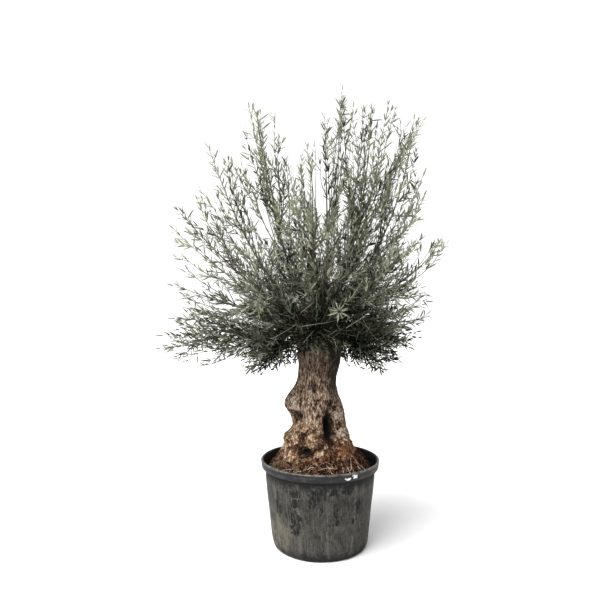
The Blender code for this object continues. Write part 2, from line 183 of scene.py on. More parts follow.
class Paint:
    """A material whose colour is laid on in layers, each over those before it."""

    def __init__(self, name, roughness, specular):
        self.material = bpy.data.materials.new(name)
        self.material.use_nodes = True
        self.tree = self.material.node_tree
        self.shader = self.tree.nodes["Principled BSDF"]
        self.shader.inputs["Roughness"].default_value = roughness
        self.shader.inputs["Specular IOR Level"].default_value = specular
        self.colour = None

    def node(self, kind, inputs, **settings):
        """A new node, with its settings, and with a value or a link for each input named."""
        node = self.tree.nodes.new("ShaderNode" + kind)
        for name, value in settings.items():
            setattr(node, name, value)
        for socket, value in inputs.items():
            if isinstance(value, bpy.types.NodeSocket):
                self.tree.links.new(value, node.inputs[socket])
            else:
                node.inputs[socket].default_value = value
        return node

    def combined(self, operation, first, second):
        return self.node("Math", {0: first, 1: second}, operation=operation).outputs["Value"]

    def product(self, first, *others):
        for other in others:
            first = self.combined("MULTIPLY", first, other)
        return first

    def place(self, stretch=EVEN):
        """The point's place in metres, scaled along each axis."""
        inputs = {"Vector": self.node("TexCoord", {}).outputs["Object"], "Scale": stretch}
        return self.node("Mapping", inputs).outputs["Vector"]

    def axes(self):
        """The point's places along X, Y and Z."""
        return self.node("SeparateXYZ", {"Vector": self.place()}).outputs

    def noise(self, scale, detail, roughness, stretch=EVEN):
        inputs = {"Vector": self.place(stretch), "Scale": scale, "Detail": detail, "Roughness": roughness}
        return self.node("TexNoise", inputs).outputs["Fac"]

    def mask(self, value, low, high):
        """0 where the value is below low, 1 where it is above high, smooth between."""
        inputs = {"Value": value, "From Min": low, "From Max": high}
        return self.node("MapRange", inputs, interpolation_type="SMOOTHSTEP").outputs["Result"]

    def blotches(self, low, high, *kind):
        """1 where a kind of noise is above high, 0 where it is below low."""
        return self.mask(self.noise(*kind), low, high)

    def ramp(self, value, stops):
        """A colour for a value, from (place, colour) stops."""
        node = self.node("ValToRGB", {"Fac": value})
        elements = node.color_ramp.elements
        while len(elements) < len(stops):
            elements.new(0.5)
        for element, (place, colour) in zip(elements, stops):
            element.position = place
            element.color = (*colour, 1.0)
        return node.outputs["Color"]

    def spot(self, centre, half_width, half_height, ragged, grain):
        """1 within a ragged spot round a point, 0 outside."""
        scale = (1.0 / half_width, 1.0 / half_width, 1.0 / half_height)
        vector = self.node("TexCoord", {}).outputs["Object"]
        for operation, other in (("SUBTRACT", tuple(centre)), ("MULTIPLY", scale)):
            vector = self.node("VectorMath", {0: vector, 1: other}, operation=operation).outputs["Vector"]
        rough = self.product(self.noise(grain, 3.0, 0.6), 2 * ragged)
        edge = self.combined("ADD", self.length(vector), rough)
        return self.mask(edge, 0.95 + ragged, 0.75 + ragged)

    def length(self, vector):
        return self.node("VectorMath", {0: vector}, operation="LENGTH").outputs["Value"]

    def lay(self, layer, *shares):
        """Lays a colour on, as thick as the layer says, where the product of the shares is."""
        colour, thickness = layer
        if isinstance(colour, tuple):
            colour = (*colour, 1.0)
        inputs = {0: self.product(*shares, thickness), 6: self.colour, 7: colour}
        self.colour = self.node("Mix", inputs, data_type="RGBA").outputs[2]

    def finished(self, relief=None, depth=0.0):
        """The material, with its colour, and with a bump where there is some relief."""
        self.tree.links.new(self.colour, self.shader.inputs["Base Color"])
        if relief is not None:
            bump = self.node("Bump", {"Height": relief, "Strength": 1.0, "Distance": depth})
            self.tree.links.new(bump.outputs["Normal"], self.shader.inputs["Normal"])
        return self.material


# Roughness, gloss, scale of the mottling, where it is lightest, and scale of the grain.
FIBRE = (0.85, 0.30, 70.0, 0.62, 600.0)
TWIG = (0.70, 0.35, 60.0, 0.65, 400.0)


def mottled_material(kind, name, colour, darker):
    roughness, gloss, mottling, lightest, grain = kind
    paint = Paint(name, roughness, gloss)
    paint.colour = paint.ramp(paint.noise(mottling, 3.0, 0.6), [(0.35, darker), (lightest, colour)])
    return paint.finished(paint.noise(grain, 2.0, 0.5), 0.0003)


# ---- Pot ----

# As in the CAD, with the ribs and the rounding of the real moulding.
POT_HEIGHT = 0.565
RIM_RADIUS = 0.397
RIM_BAND = 0.055
RIM_WALL = 0.017
RIM_FOOT = POT_HEIGHT - RIM_BAND
BODY_TOP_RADIUS = 0.370
BODY_FOOT_RADIUS = 0.315
POT_WALL = 0.006
POT_FLOOR = 0.008
FOOT_CURVE = 0.027
POT_SIDES = 240
# The rim's outline up its band: how far inside its edge, and how far above its foot.
RIM_OUTLINE = [(0.014, 0.001), (0.007, 0.005), (0.004, 0.014), (0.003, 0.026), (0.006, 0.035)]
RIBS = 12
RIB_TURN = math.radians(8)
RIB_HEIGHT = 0.0034
RIB_HALF_WIDTH = math.radians(1.3)
# Where the ribs begin and end up the side, and over how much height they fade there.
RIB_ENDS = [(0.04, 0.03), (0.47, 0.02)]
DENT_DEPTH = 0.0022
DENT_SCALE = 7.0
SHARP_EDGE = math.radians(42)

# Layers of dust and wear, and of painted light and shade: the colour, and how thick it lies.
POT_FILM = [(0.34, (0.012, 0.012, 0.010)), (0.50, (0.032, 0.031, 0.027)), (0.66, (0.062, 0.059, 0.050))]
STREAK_DUST = ((0.092, 0.087, 0.076), 0.55)
# Dust on the ribs, and a painted highlight along them.
RIDGE_DUST_AND_HIGHLIGHT = ((0.120, 0.114, 0.098), 0.65)
SPECK_DUST = ((0.125, 0.117, 0.100), 0.45)
LOW_DUST = ((0.135, 0.120, 0.090), 0.70)
CLEAN_MARK = ((0.006, 0.006, 0.006), 0.92)
# Painted shadow under the rim.
PAINTED_SHADOW_UNDER_RIM = ((0.006, 0.006, 0.006), 0.90)
# Darker towards the foot.
DARKER_FOOT = ((0.006, 0.006, 0.006), 0.80)
SCUFF = ((0.003, 0.003, 0.004), 0.92)
RIM_FILM = [(0.36, (0.003, 0.003, 0.004)), (0.54, (0.006, 0.006, 0.007)), (0.68, (0.027, 0.026, 0.024))]
# Painted highlight along the rim's lip.
PAINTED_LIP_HIGHLIGHT = ((0.158, 0.154, 0.144), 0.60)
RIM_SMUDGE = ((0.080, 0.077, 0.068), 0.50)
# Painted shade on the inside of the rim.
PAINTED_SHADE_INSIDE_RIM = ((0.004, 0.004, 0.004), 1.0)
WHITE_PAINT = ((0.62, 0.62, 0.62), 1.0)
# Blotches: where they start and are full, scale, detail, roughness, and stretch along the axes.
STREAKS = (0.46, 0.62, 1.0, 6.0, 0.75, (120.0, 120.0, 4.0))
RIDGE_PARTS = (0.40, 0.60, 1.0, 5.0, 0.70, (30.0, 30.0, 7.0))
SPECKS = (0.50, 0.66, 120.0, 5.0, 0.78)
MARKED_PARTS = (0.42, 0.62, 7.0, 4.0, 0.60)
MARKS = (0.50, 0.60, 1.0, 6.0, 0.78, (95.0, 95.0, 34.0))
SCRATCHES = (0.42, 0.52, 1.0, 5.0, 0.75, (95.0, 95.0, 16.0))
# Where the painted highlight on the lip shows.
LIP_HIGHLIGHT_PARTS = (0.36, 0.58, 36.0, 5.0, 0.72)
SMUDGES = (0.52, 0.66, 1.0, 5.0, 0.75, (18.0, 18.0, 60.0))
# Dark scuffs on the pot's dusty side: azimuth, height, half width and half height.
POT_SCUFFS = [
    (243, 0.262, 0.050, 0.070), (244, 0.205, 0.040, 0.060), (245, 0.365, 0.045, 0.040),
    (244, 0.430, 0.050, 0.035), (268, 0.425, 0.060, 0.050), (262, 0.380, 0.030, 0.030),
    (271, 0.340, 0.016, 0.050), (286, 0.330, 0.018, 0.050), (289, 0.265, 0.026, 0.032),
    (285, 0.440, 0.040, 0.030), (299, 0.445, 0.045, 0.030), (222, 0.345, 0.026, 0.090),
    (312, 0.330, 0.030, 0.070), (305, 0.245, 0.020, 0.030), (120, 0.240, 0.040, 0.070),
    (60, 0.350, 0.045, 0.050), (10, 0.180, 0.035, 0.070), (165, 0.300, 0.040, 0.050),
]
# A smear of white paint on the rim: azimuth, height, half width and half height.
PAINT_SMEARS = [(296, 0.531, 0.024, 0.007), (303, 0.543, 0.022, 0.013)]


def body_radius(height):
    """Outer radius of the pot's tapering body at a height."""
    return BODY_FOOT_RADIUS + (BODY_TOP_RADIUS - BODY_FOOT_RADIUS) * height / RIM_FOOT


def pot_body_material():
    """Black plastic under a film of dust that is streaked, scuffed and worn off in places, paler on the ribs
    by dust and a painted highlight, darker towards the foot, and with a painted shadow under the rim.
    """
    paint = Paint("pot_dusty_plastic", 0.75, 0.30)
    cloud = paint.noise(8.0, 7.0, 0.70)
    paint.colour = paint.ramp(cloud, POT_FILM)
    x, y, z = paint.axes()
    paint.lay(STREAK_DUST, paint.blotches(*STREAKS))
    azimuth = paint.combined("ARCTAN2", y, x)
    turns = paint.product(paint.combined("SUBTRACT", azimuth, RIB_TURN), 2 * RIBS / math.tau)
    ridge = paint.mask(paint.combined("PINGPONG", turns, 1.0), 0.20, 0.02)
    # Dust and a painted highlight along the ribs.
    paint.lay(RIDGE_DUST_AND_HIGHLIGHT, ridge, paint.blotches(*RIDGE_PARTS))
    paint.lay(SPECK_DUST, paint.blotches(*SPECKS))
    paint.lay(CLEAN_MARK, paint.blotches(*MARKS), paint.blotches(*MARKED_PARTS))
    height = paint.combined("ADD", z, paint.product(paint.noise(26.0, 6.0, 0.75), 0.22))
    # Painted shadow under the rim.
    paint.lay(PAINTED_SHADOW_UNDER_RIM, paint.mask(height, 0.545, 0.600))
    # Darker towards the foot.
    paint.lay(DARKER_FOOT, paint.mask(height, 0.190, 0.130))
    paint.lay(LOW_DUST, paint.mask(x, -0.08, -0.30), paint.mask(z, 0.36, 0.14), paint.mask(cloud, 0.38, 0.60))
    scratched = paint.blotches(*SCRATCHES)
    for place, level, *size in POT_SCUFFS:
        paint.lay(SCUFF, paint.spot(around(place, level, body_radius(level)), *size, 1.3, 42.0), scratched)
    return paint.finished(paint.noise(240.0, 3.0, 0.6, (1.0, 1.0, 0.25)), 0.0008)


def pot_rim_material():
    """Smoother black plastic with a painted grey highlight along the lip, painted shade on its inside, and a
    smear of white paint.
    """
    paint = Paint("pot_rim_plastic", 0.50, 0.45)
    paint.colour = paint.ramp(paint.noise(24.0, 6.0, 0.70), RIM_FILM)
    x, y, z = paint.axes()
    lip = paint.mask(z, POT_HEIGHT - 0.012, POT_HEIGHT - 0.004)
    # Painted highlight along the lip, in blotches.
    paint.lay(PAINTED_LIP_HIGHLIGHT, lip, paint.blotches(*LIP_HIGHLIGHT_PARTS))
    paint.lay(RIM_SMUDGE, paint.blotches(*SMUDGES))
    away = paint.length(paint.node("CombineXYZ", {"X": x, "Y": y}).outputs["Vector"])
    inner = RIM_RADIUS - RIM_WALL
    # Painted shade on the inside of the rim.
    paint.lay(PAINTED_SHADE_INSIDE_RIM, paint.mask(away, inner + 0.004, inner + 0.001))
    for azimuth, level, *size in PAINT_SMEARS:
        paint.lay(WHITE_PAINT, paint.spot(around(azimuth, level, RIM_RADIUS), *size, 1.3, 90.0))
    return paint.finished(paint.noise(120.0, 3.0, 0.6), 0.0006)


def rounded_lip():
    """Outline of the rim from its lower edge, over the rounded lip, to the inside wall."""
    band = [(body_radius(RIM_FOOT) + 0.001, RIM_FOOT)]
    band += [(RIM_RADIUS - inside, RIM_FOOT + above) for inside, above in RIM_OUTLINE]
    lip = RIM_WALL / 2
    centre = (RIM_RADIUS - lip, POT_HEIGHT - lip)
    turns = np.radians(np.linspace(0, 180, 11))
    over = [(centre[0] + lip * math.cos(turn), centre[1] + lip * math.sin(turn)) for turn in turns]
    return band + over + [(RIM_RADIUS - RIM_WALL - 0.001, POT_HEIGHT - 2 * lip)]


def pot_profile():
    """Outline of the pot from its foot, over the rim, to its floor, and where its side and rim end."""
    foot = []
    for turn in np.radians(np.linspace(0, 90, 7)):
        inside = FOOT_CURVE * (1.0 - math.sin(turn))
        foot.append((body_radius(0.0) - inside, FOOT_CURVE * (1.0 - math.cos(turn))))
    side = [(body_radius(height), height) for height in np.linspace(FOOT_CURVE + 0.012, RIM_FOOT, 36)]
    levels = np.linspace(RIM_FOOT - 0.012, FOOT_CURVE + POT_FLOOR, 12)
    inner = [(body_radius(height) - POT_WALL, height) for height in levels]
    floor = [(body_radius(0.0) - FOOT_CURVE, POT_FLOOR)]
    rim = rounded_lip()
    side_end = len(foot) + len(side)
    return np.array(foot + side + rim + inner + floor), side_end, side_end + len(rim)


def make_pot():
    profile, side_end, rim_end = pot_profile()
    angles = np.arange(POT_SIDES) * math.tau / POT_SIDES
    radius, height = (values[:, None] * np.ones(POT_SIDES) for values in profile.T)
    spacing = math.tau / RIBS
    turn = (angles - RIB_TURN + spacing / 2) % spacing - spacing / 2
    rib = RIB_HEIGHT * np.exp(-((turn / RIB_HALF_WIDTH) ** 2))
    (low, low_fade), (high, high_fade) = RIB_ENDS
    levels = profile[:side_end, 1]
    fade = np.clip((levels - low) / low_fade, 0, 1) * np.clip((high - levels) / high_fade, 0, 1)
    radius[:side_end] += fade[:, None] * rib
    points = np.stack([radius * np.cos(angles), radius * np.sin(angles), height], axis=-1)
    dents = np.array([noise.noise(Vector(point) * DENT_SCALE) for point in points[:rim_end].reshape(-1, 3)])
    shift = 1.0 + DENT_DEPTH * dents.reshape(-1, POT_SIDES) / RIM_RADIUS
    sunk = shift * (1.0 - DENT_DEPTH / RIM_RADIUS)
    points[:rim_end, :, :2] *= np.minimum(sunk, 1.0)[..., None]
    points = np.concatenate([[[0, 0, 0]], points.reshape(-1, 3), [[0, 0, POT_FLOOR]]])
    triangles = skin_triangles(len(profile), POT_SIDES)
    on_rim = points[triangles].mean(axis=1)[:, 2] > RIM_FOOT - 0.001
    materials = [pot_body_material(), pot_rim_material()]
    pot = new_piece("pot_shell", [(points, triangles)], materials, True, on_rim)
    pot.data.set_sharp_from_angle(angle=SHARP_EDGE)
    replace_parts(pot, "pot")


# ---- Soil ----

SOIL_EDGE = POT_HEIGHT - 0.075
GROUND = 0.600
GROUND_RADIUS = 0.292
# The ground's height, by the distance from the axis.
GROUND_PLACES = [0.0, GROUND_RADIUS - 0.03, 0.325, 0.355]
GROUND_LEVELS = [GROUND + 0.006, GROUND, SOIL_EDGE + 0.040, SOIL_EDGE]
# Lumps of the ground: how high they are, and their scale.
GROUND_LUMPS = [(0.011, 26.0), (0.0055, 70.0), (0.0025, 170.0)]
SOIL_SIDES = 200
SOIL_RINGS = 52
SOIL_MIDDLE = 0.16
LITTER_EDGE = 0.352
CLODS = 900
CLOD_PLACES = (0.24, LITTER_EDGE)
CLOD_SIZES = (0.003, 0.010)
# Fibres: their number, distances from the axis, lengths, bend, highest lift and thickness.
STRAW = (460, (0.24, 0.345), (0.03, 0.11), 0.35, 0.018, 0.0011)
STRAW_HEAP = (188, 246)
FINE_ROOTS = (30, (0.26, 0.345), (0.05, 0.15), 0.5, 0.02, 0.0010)
FINE_ROOT_AZIMUTHS = (235, 330)
ROOT_AZIMUTHS = (292, 300, 306, 311, 318, 322, 327, 240, 262)
ROOT_PLACES = (0.27, 0.32)
ROOT_LENGTHS = (0.09, 0.17)
WEEDS = 26
WEED_PLACES = (0.325, 0.348)
WEED_AZIMUTHS = (243, 258)
WEED_HEIGHTS = (0.012, 0.030)
WEED_RADII = [0.001, 0.0022, 0.0026, 0.0018, 0.0006]
EARTH = [
    (0.38, (0.003, 0.001, 0.001)),
    (0.48, (0.023, 0.008, 0.004)),
    (0.58, (0.072, 0.025, 0.011)),
    (0.70, (0.140, 0.064, 0.030)),
]
DRY_EARTH = ((0.092, 0.054, 0.031), 0.32)
DRY_PARTS = (0.52, 0.70, 9.0, 4.0, 0.60)


def soil_material():
    paint = Paint("soil_earth", 0.95, 0.2)
    paint.colour = paint.ramp(paint.noise(38.0, 7.0, 0.68), EARTH)
    paint.lay(DRY_EARTH, paint.blotches(*DRY_PARTS))
    return paint.finished(paint.noise(160.0, 5.0, 0.7), 0.003)


def wall_inside(height):
    return body_radius(height) - POT_WALL - 2 * GAP - 0.003


def soil_surface(x, y):
    """Height of the ground at a place: a low mound round the trunk, level out to the wall."""
    height = np.interp(math.hypot(x, y), GROUND_PLACES, GROUND_LEVELS)
    place = Vector((x, y, 0.0))
    (coarse, coarse_scale), (middle, middle_scale), (fine, fine_scale) = GROUND_LUMPS
    rough = coarse * noise.noise(place * coarse_scale) + middle * noise.noise(place * middle_scale)
    return height + rough + fine * noise.noise(place * fine_scale)


def make_soil():
    edge = SOIL_EDGE - 0.020
    low = FOOT_CURVE + POT_FLOOR + GAP
    profile = [
        (body_radius(0.0) - FOOT_CURVE - 0.006, POT_FLOOR + GAP),
        (wall_inside(low) - 0.002, low + 0.004),
        (wall_inside(edge), edge),
    ]
    angles = np.arange(SOIL_SIDES) * math.tau / SOIL_SIDES
    rings = []
    for radius, height in profile:
        rings.append([(radius * math.cos(a), radius * math.sin(a), height) for a in angles])
    for radius in np.linspace(wall_inside(edge) - 0.001, SOIL_MIDDLE, SOIL_RINGS):
        ring = [(radius * math.cos(a), radius * math.sin(a)) for a in angles]
        rings.append([(x, y, soil_surface(x, y)) for x, y in ring])
    points = np.array(rings).reshape(-1, 3)
    points = np.concatenate([[[0, 0, POT_FLOOR + GAP]], points, [[0, 0, GROUND]]])
    triangles = skin_triangles(len(rings), SOIL_SIDES)
    soil = new_piece("soil_ground", [(points, triangles)], [soil_material()])
    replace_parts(soil, "soil")


def ball(centre, size, rng, rings=3, sides=6):
    """A small rough lump."""
    points = [centre - size * UP]
    for ring in range(rings):
        turn = math.pi * (ring + 1) / (rings + 1)
        wide = math.sin(turn)
        for side in range(sides):
            angle = math.tau * side / sides
            out = np.array([wide * math.cos(angle), wide * math.sin(angle), -math.cos(turn)])
            points.append(centre + size * rng.uniform(0.7, 1.2) * out * (1.0, 1.0, 0.8))
    points.append(centre + size * 0.8 * UP)
    return np.array(points), skin_triangles(rings, sides)


def ground_point(radius, angle, lift=0.0):
    """A point on the ground at a distance from the axis and an angle in radians."""
    x, y = radius * math.cos(angle), radius * math.sin(angle)
    return np.array([x, y, soil_surface(x, y) + lift])


def lying_fibre(rng, radius, angle, length, bend, lift, thickness, points=7):
    """A thin fibre that lies on the ground, bends as it goes and may lift at its end."""
    heading = rng.uniform(0, math.tau)
    x, y = radius * math.cos(angle), radius * math.sin(angle)
    line = []
    for step in range(points):
        share = step / (points - 1)
        away = math.hypot(x, y)
        if away > LITTER_EDGE:
            x, y = x * LITTER_EDGE / away, y * LITTER_EDGE / away
        line.append((x, y, soil_surface(x, y) + thickness + lift * share * share))
        heading += rng.uniform(-bend, bend)
        x += length / (points - 1) * math.cos(heading)
        y += length / (points - 1) * math.sin(heading)
    return tapered(np.array(line), thickness, 0.45 * thickness, 4)


def scattered(rng, kind, azimuth):
    """Fibres of a kind that lie at random, each at an azimuth in degrees that is drawn anew."""
    count, places, lengths, bend, lift, thickness = kind
    fibres = []
    for _ in range(count):
        place = (rng.uniform(*places), math.radians(azimuth()))
        length = rng.uniform(*lengths)
        end_lift = rng.uniform(0.0, lift)
        fibres.append(lying_fibre(rng, *place, length, bend, end_lift, thickness))
    return fibres


def weed(rng):
    foot = ground_point(rng.uniform(*WEED_PLACES), math.radians(rng.uniform(*WEED_AZIMUTHS)))
    lean = np.array([rng.uniform(-0.6, 0.6), rng.uniform(-0.6, 0.6), 1.0])
    tip = foot + rng.uniform(*WEED_HEIGHTS) * unit(lean)
    return tube(bezier(foot, foot + 0.01 * UP, tip, tip, len(WEED_RADII)), WEED_RADII, 4)


def make_soil_litter():
    rng = np.random.default_rng(31)
    clods = []
    for _ in range(CLODS):
        place = ground_point(rng.uniform(*CLOD_PLACES), rng.uniform(0, math.tau), 0.001)
        clods.append(ball(place, rng.uniform(*CLOD_SIZES), rng))
    new_piece("soil_clods", clods, [soil_material()])
    straw = scattered(rng, STRAW, lambda: rng.choice((rng.uniform(0, 360), rng.uniform(*STRAW_HEAP))))
    dry = mottled_material(FIBRE, "straw_fibre", (0.220, 0.160, 0.098), (0.080, 0.052, 0.028))
    new_piece("straw", straw, [dry])
    roots = scattered(rng, FINE_ROOTS, lambda: rng.uniform(*FINE_ROOT_AZIMUTHS))
    for azimuth in ROOT_AZIMUTHS:
        place = (rng.uniform(*ROOT_PLACES), math.radians(azimuth))
        roots.append(lying_fibre(rng, *place, rng.uniform(*ROOT_LENGTHS), 0.24, 0.008, 0.0022, 9))
    pale = mottled_material(FIBRE, "pale_root", (0.560, 0.480, 0.380), (0.300, 0.230, 0.160))
    new_piece("pale_roots", roots, [pale])
    weeds = [weed(rng) for _ in range(WEEDS)]
    green = mottled_material(FIBRE, "weed_green", (0.090, 0.135, 0.030), (0.040, 0.060, 0.015))
    new_piece("weeds", weeds, [green])


# ---- Trunk ----

# The trunk's head, where the limbs start.
HEAD = np.array([-0.012, 0.0, 1.400])
# Height above the pot's underside, sideways place of the centre line, and radius.
TRUNK_PROFILE = [
    (0.600, -0.012, 0.258), (0.640, -0.012, 0.234), (0.680, -0.012, 0.208), (0.740, -0.008, 0.186),
    (0.790, -0.008, 0.176), (0.870, -0.014, 0.168), (0.930, -0.018, 0.160), (1.000, -0.022, 0.138),
    (1.060, -0.022, 0.126), (1.110, -0.018, 0.126), (1.150, -0.010, 0.130), (1.190, -0.004, 0.136),
    (1.270, -0.002, 0.146), (1.400, -0.008, 0.166), (1.470, -0.012, 0.150), (1.530, -0.012, 0.105),
    (1.555, -0.012, 0.050),
]
TRUNK_RINGS = 250
TRUNK_SIDES = 300
# Burls stand out of the trunk and hollows sink in: name, azimuth in degrees, height,
# depth outward, half width in degrees and half height.
BURLS = [
    ("left_shoulder", 188, 0.945, 0.064, 30, 0.095),
    ("hollow_under_shoulder", 216, 0.862, -0.040, 19, 0.034),
    ("right_bulge", 332, 0.865, 0.024, 18, 0.050),
    ("hollow_over_bulge", 306, 0.930, -0.016, 14, 0.034),
    ("front_cleft", 291, 0.795, -0.072, 9, 0.078),
    ("cleft_knob", 297, 0.888, 0.026, 6, 0.018),
    ("right_foot_burl", 335, 0.735, 0.034, 22, 0.034),
    ("left_foot_burl", 188, 0.710, 0.042, 28, 0.036),
    ("front_foot_burl", 258, 0.700, 0.034, 20, 0.034),
    ("front_left_burl", 232, 0.760, 0.024, 16, 0.030),
    ("foot_cavity", 245, 0.650, -0.050, 12, 0.024),
    ("right_buttress", 312, 0.680, 0.030, 16, 0.045),
    ("back_knob", 60, 0.930, 0.034, 24, 0.050),
    ("back_hollow", 100, 0.840, -0.030, 22, 0.050),
    ("back_foot_burl", 130, 0.700, 0.036, 26, 0.045),
    ("back_buttress", 40, 0.690, 0.030, 22, 0.050),
]
# Hollows get painted shade on their bark, darker the deeper they are; one that its own shadow darkens enough
# gets only this much painted shade.
FAINT_HOLLOWS = {"hollow_under_shoulder": 0.18}
PAINTED_SHADE_BY_DEPTH = -13.0
# Knobbly wood ends at this height, and gives way to plain bark over this height.
BURL_TOP = (0.775, 0.018)
# Low flutes wind up the trunk, and fade out below its head.
FLUTES = 7
FLUTE_DEPTH = 0.035
FLUTE_TWIST = 9.0
FLUTE_FADE = 0.4
# Knobs on the burls: how far they stand out, and their size.
KNOBS = [(0.0055, 0.062), (0.0060, 0.027), (0.0040, 0.013)]
# Scales of the clouds that shape flakes, furrows and cracks, which run up the trunk.
FLAKE_SCALE = np.array([95.0, 95.0, 30.0])
FURROW_SCALE = np.array([46.0, 46.0, 11.0])
CRACK_SCALE = np.array([26.0, 26.0, 9.0])

# Colours by how far the bark stands out, whose darkest stops are painted shade in furrows, cracks and
# hollows, and layers over them with how thick they lie.
BARK = [
    (0.12, (0.005, 0.003, 0.002)),
    (0.38, (0.036, 0.021, 0.013)),
    (0.54, (0.132, 0.086, 0.057)),
    (0.70, (0.285, 0.213, 0.157)),
    (0.92, (0.480, 0.410, 0.330)),
]
GOLDEN_BARK = [
    (0.12, (0.006, 0.003, 0.002)),
    (0.36, (0.055, 0.028, 0.014)),
    (0.54, (0.147, 0.083, 0.041)),
    (0.72, (0.288, 0.199, 0.125)),
    (0.95, (0.540, 0.460, 0.360)),
]
EARTHY_BARK = [(0.20, (0.008, 0.004, 0.002)), (0.48, (0.095, 0.038, 0.018)), (0.80, (0.260, 0.150, 0.085))]
PALE_BARK = [(0.10, (0.080, 0.060, 0.045)), (0.50, (0.330, 0.275, 0.225)), (0.85, (0.560, 0.490, 0.420))]
BOUGH_BARK = [(0.30, (0.014, 0.011, 0.008)), (0.52, (0.050, 0.040, 0.030)), (0.75, (0.120, 0.102, 0.080))]
ORANGE_EARTH = ((0.20, 0.088, 0.036), 0.5)
# Painted shade of a fissure on the trunk's front.
PAINTED_FISSURE_SHADE = ((0.012, 0.008, 0.006), 0.75)
# Painted shadow of the crown over the trunk's top.
PAINTED_CROWN_SHADOW = ((0.020, 0.014, 0.010), 0.62)
# Painted shade on the trunk's right side.
PAINTED_SIDE_SHADE = ((0.012, 0.009, 0.006), 0.86)
# Pale crusts on the trunk's burls: azimuth, height, half width and half height.
PALE_CRUSTS = [
    (316, 0.878, 0.062, 0.048), (296, 0.886, 0.020, 0.020), (318, 0.762, 0.062, 0.028),
    (212, 0.918, 0.040, 0.026), (204, 0.972, 0.040, 0.034),
]


def trunk_material():
    """Grey-brown flakes on furrows dark with painted shade, by the relief of the mesh, golden burls at the
    foot, painted shade in the hollows and on the right side, and the crown's painted shadow at the top.
    """
    paint = Paint("old_bark", 0.90, 0.25)
    # The relief attribute carries painted shade: it is low in furrows, cracks and hollows, where the ramps
    # turn dark.
    relief = paint.node("Attribute", {}, attribute_name="relief").outputs["Fac"]
    flakes = paint.noise(1.0, 5.0, 0.75, (150.0, 150.0, 42.0))
    crumbs = paint.noise(1.0, 6.0, 0.75, (95.0, 95.0, 80.0))
    x, _, z = paint.axes()
    crusted = paint.mask(z, 0.92, 0.76)
    fine = paint.combined("ADD", flakes, paint.product(crusted, paint.combined("SUBTRACT", crumbs, flakes)))
    shade = paint.product(paint.combined("SUBTRACT", fine, 0.5), 1.9)
    level = paint.combined("ADD", relief, shade)
    golden, earth, worn = (paint.ramp(level, stops) for stops in (GOLDEN_BARK, EARTHY_BARK, PALE_BARK))
    paint.colour = paint.ramp(level, BARK)
    wander = paint.product(paint.noise(9.0, 4.0, 0.6), 0.40)
    wandering_height = paint.combined("ADD", z, wander)
    paint.lay((golden, 0.72), paint.mask(wandering_height, 1.10, 0.86))
    ground = paint.combined("ADD", z, paint.product(paint.noise(14.0, 5.0, 0.65), 0.20))
    ground = paint.combined("SUBTRACT", ground, paint.product(x, 0.32))
    paint.lay((earth, 0.80), paint.mask(ground, 0.755, 0.715))
    paint.lay(ORANGE_EARTH, paint.spot(around(318, 0.665, 0.23), 0.055, 0.035, 0.6, 30.0))
    for azimuth, height, *size in PALE_CRUSTS:
        paint.lay((worn, 0.62), paint.spot(around(azimuth, height, 0.19), *size, 1.2, 50.0))
    # Painted shade of a fissure on the trunk's front.
    paint.lay(PAINTED_FISSURE_SHADE, paint.spot(around(252, 1.060, 0.126), 0.013, 0.075, 0.8, 60.0))
    # Painted shadow of the crown over the trunk's top.
    paint.lay(PAINTED_CROWN_SHADOW, paint.mask(wandering_height, 1.20, 1.50))
    # Painted shade on the trunk's right side, from its middle up.
    right = paint.combined("ADD", x, paint.product(wander, 0.15))
    paint.lay(PAINTED_SIDE_SHADE, paint.mask(right, 0.050, 0.105), paint.mask(z, 0.87, 1.08))
    return paint.finished(fine, 0.006)


def bough_material():
    paint = Paint("bough_bark", 0.88, 0.3)
    flakes = paint.noise(1.0, 5.0, 0.65, (120.0, 120.0, 45.0))
    paint.colour = paint.ramp(flakes, BOUGH_BARK)
    return paint.finished(flakes, 0.002)


def burl_shares(height, angle):
    """Each burl's or hollow's name and depth, and its share at each place: 1 at its middle."""
    for name, azimuth, level, depth, half_width, half_height in BURLS:
        turn = (angle - math.radians(azimuth) + math.pi) % math.tau - math.pi
        across = turn / math.radians(half_width)
        along = (height - level) / half_height
        yield name, depth, np.exp(-across * across - along * along)


def trunk_skin(height, angle):
    """The trunk's centre line and radius for arrays of heights and azimuths."""
    heights, centres, radii = np.array(TRUNK_PROFILE).T
    centre = np.interp(height, heights, centres)
    radius = np.interp(height, heights, radii)
    fade = np.clip((HEAD[2] - height) / FLUTE_FADE, 0.0, 1.0)
    radius = radius * (1.0 + FLUTE_DEPTH * fade * np.sin(FLUTES * angle + FLUTE_TWIST * height))
    for _, depth, share in burl_shares(height, angle):
        radius = radius + depth * share
    return centre, radius


def knobbly_and_hollow_shade(height, angle):
    """How knobbly the wood is at each place, and how much painted shade the hollows lay there, both from 0 to
    1.
    """
    level, change = BURL_TOP
    knobbly = 1.0 / (1.0 + np.exp((height - level) / change))
    hollow_shade = np.zeros_like(height)
    for name, depth, share in burl_shares(height, angle):
        if depth > 0:
            knobbly = np.maximum(knobbly, 0.7 * share)
        else:
            most = FAINT_HOLLOWS.get(name, min(1.0, PAINTED_SHADE_BY_DEPTH * depth))
            hollow_shade = np.maximum(hollow_shade, most * share)
    return knobbly.ravel(), hollow_shade.ravel()


def lumps(points, size):
    """Rounded lumps with creases between them, from -1 in a crease to 1 on top."""
    nearest = np.array([noise.voronoi(Vector(point) / size)[0][0] for point in points])
    return 1.0 - 2.2 * nearest


def clouds(points, scale, octaves=3):
    return np.array([noise.fractal(Vector(point * scale), 0.9, 2.1, octaves) for point in points])


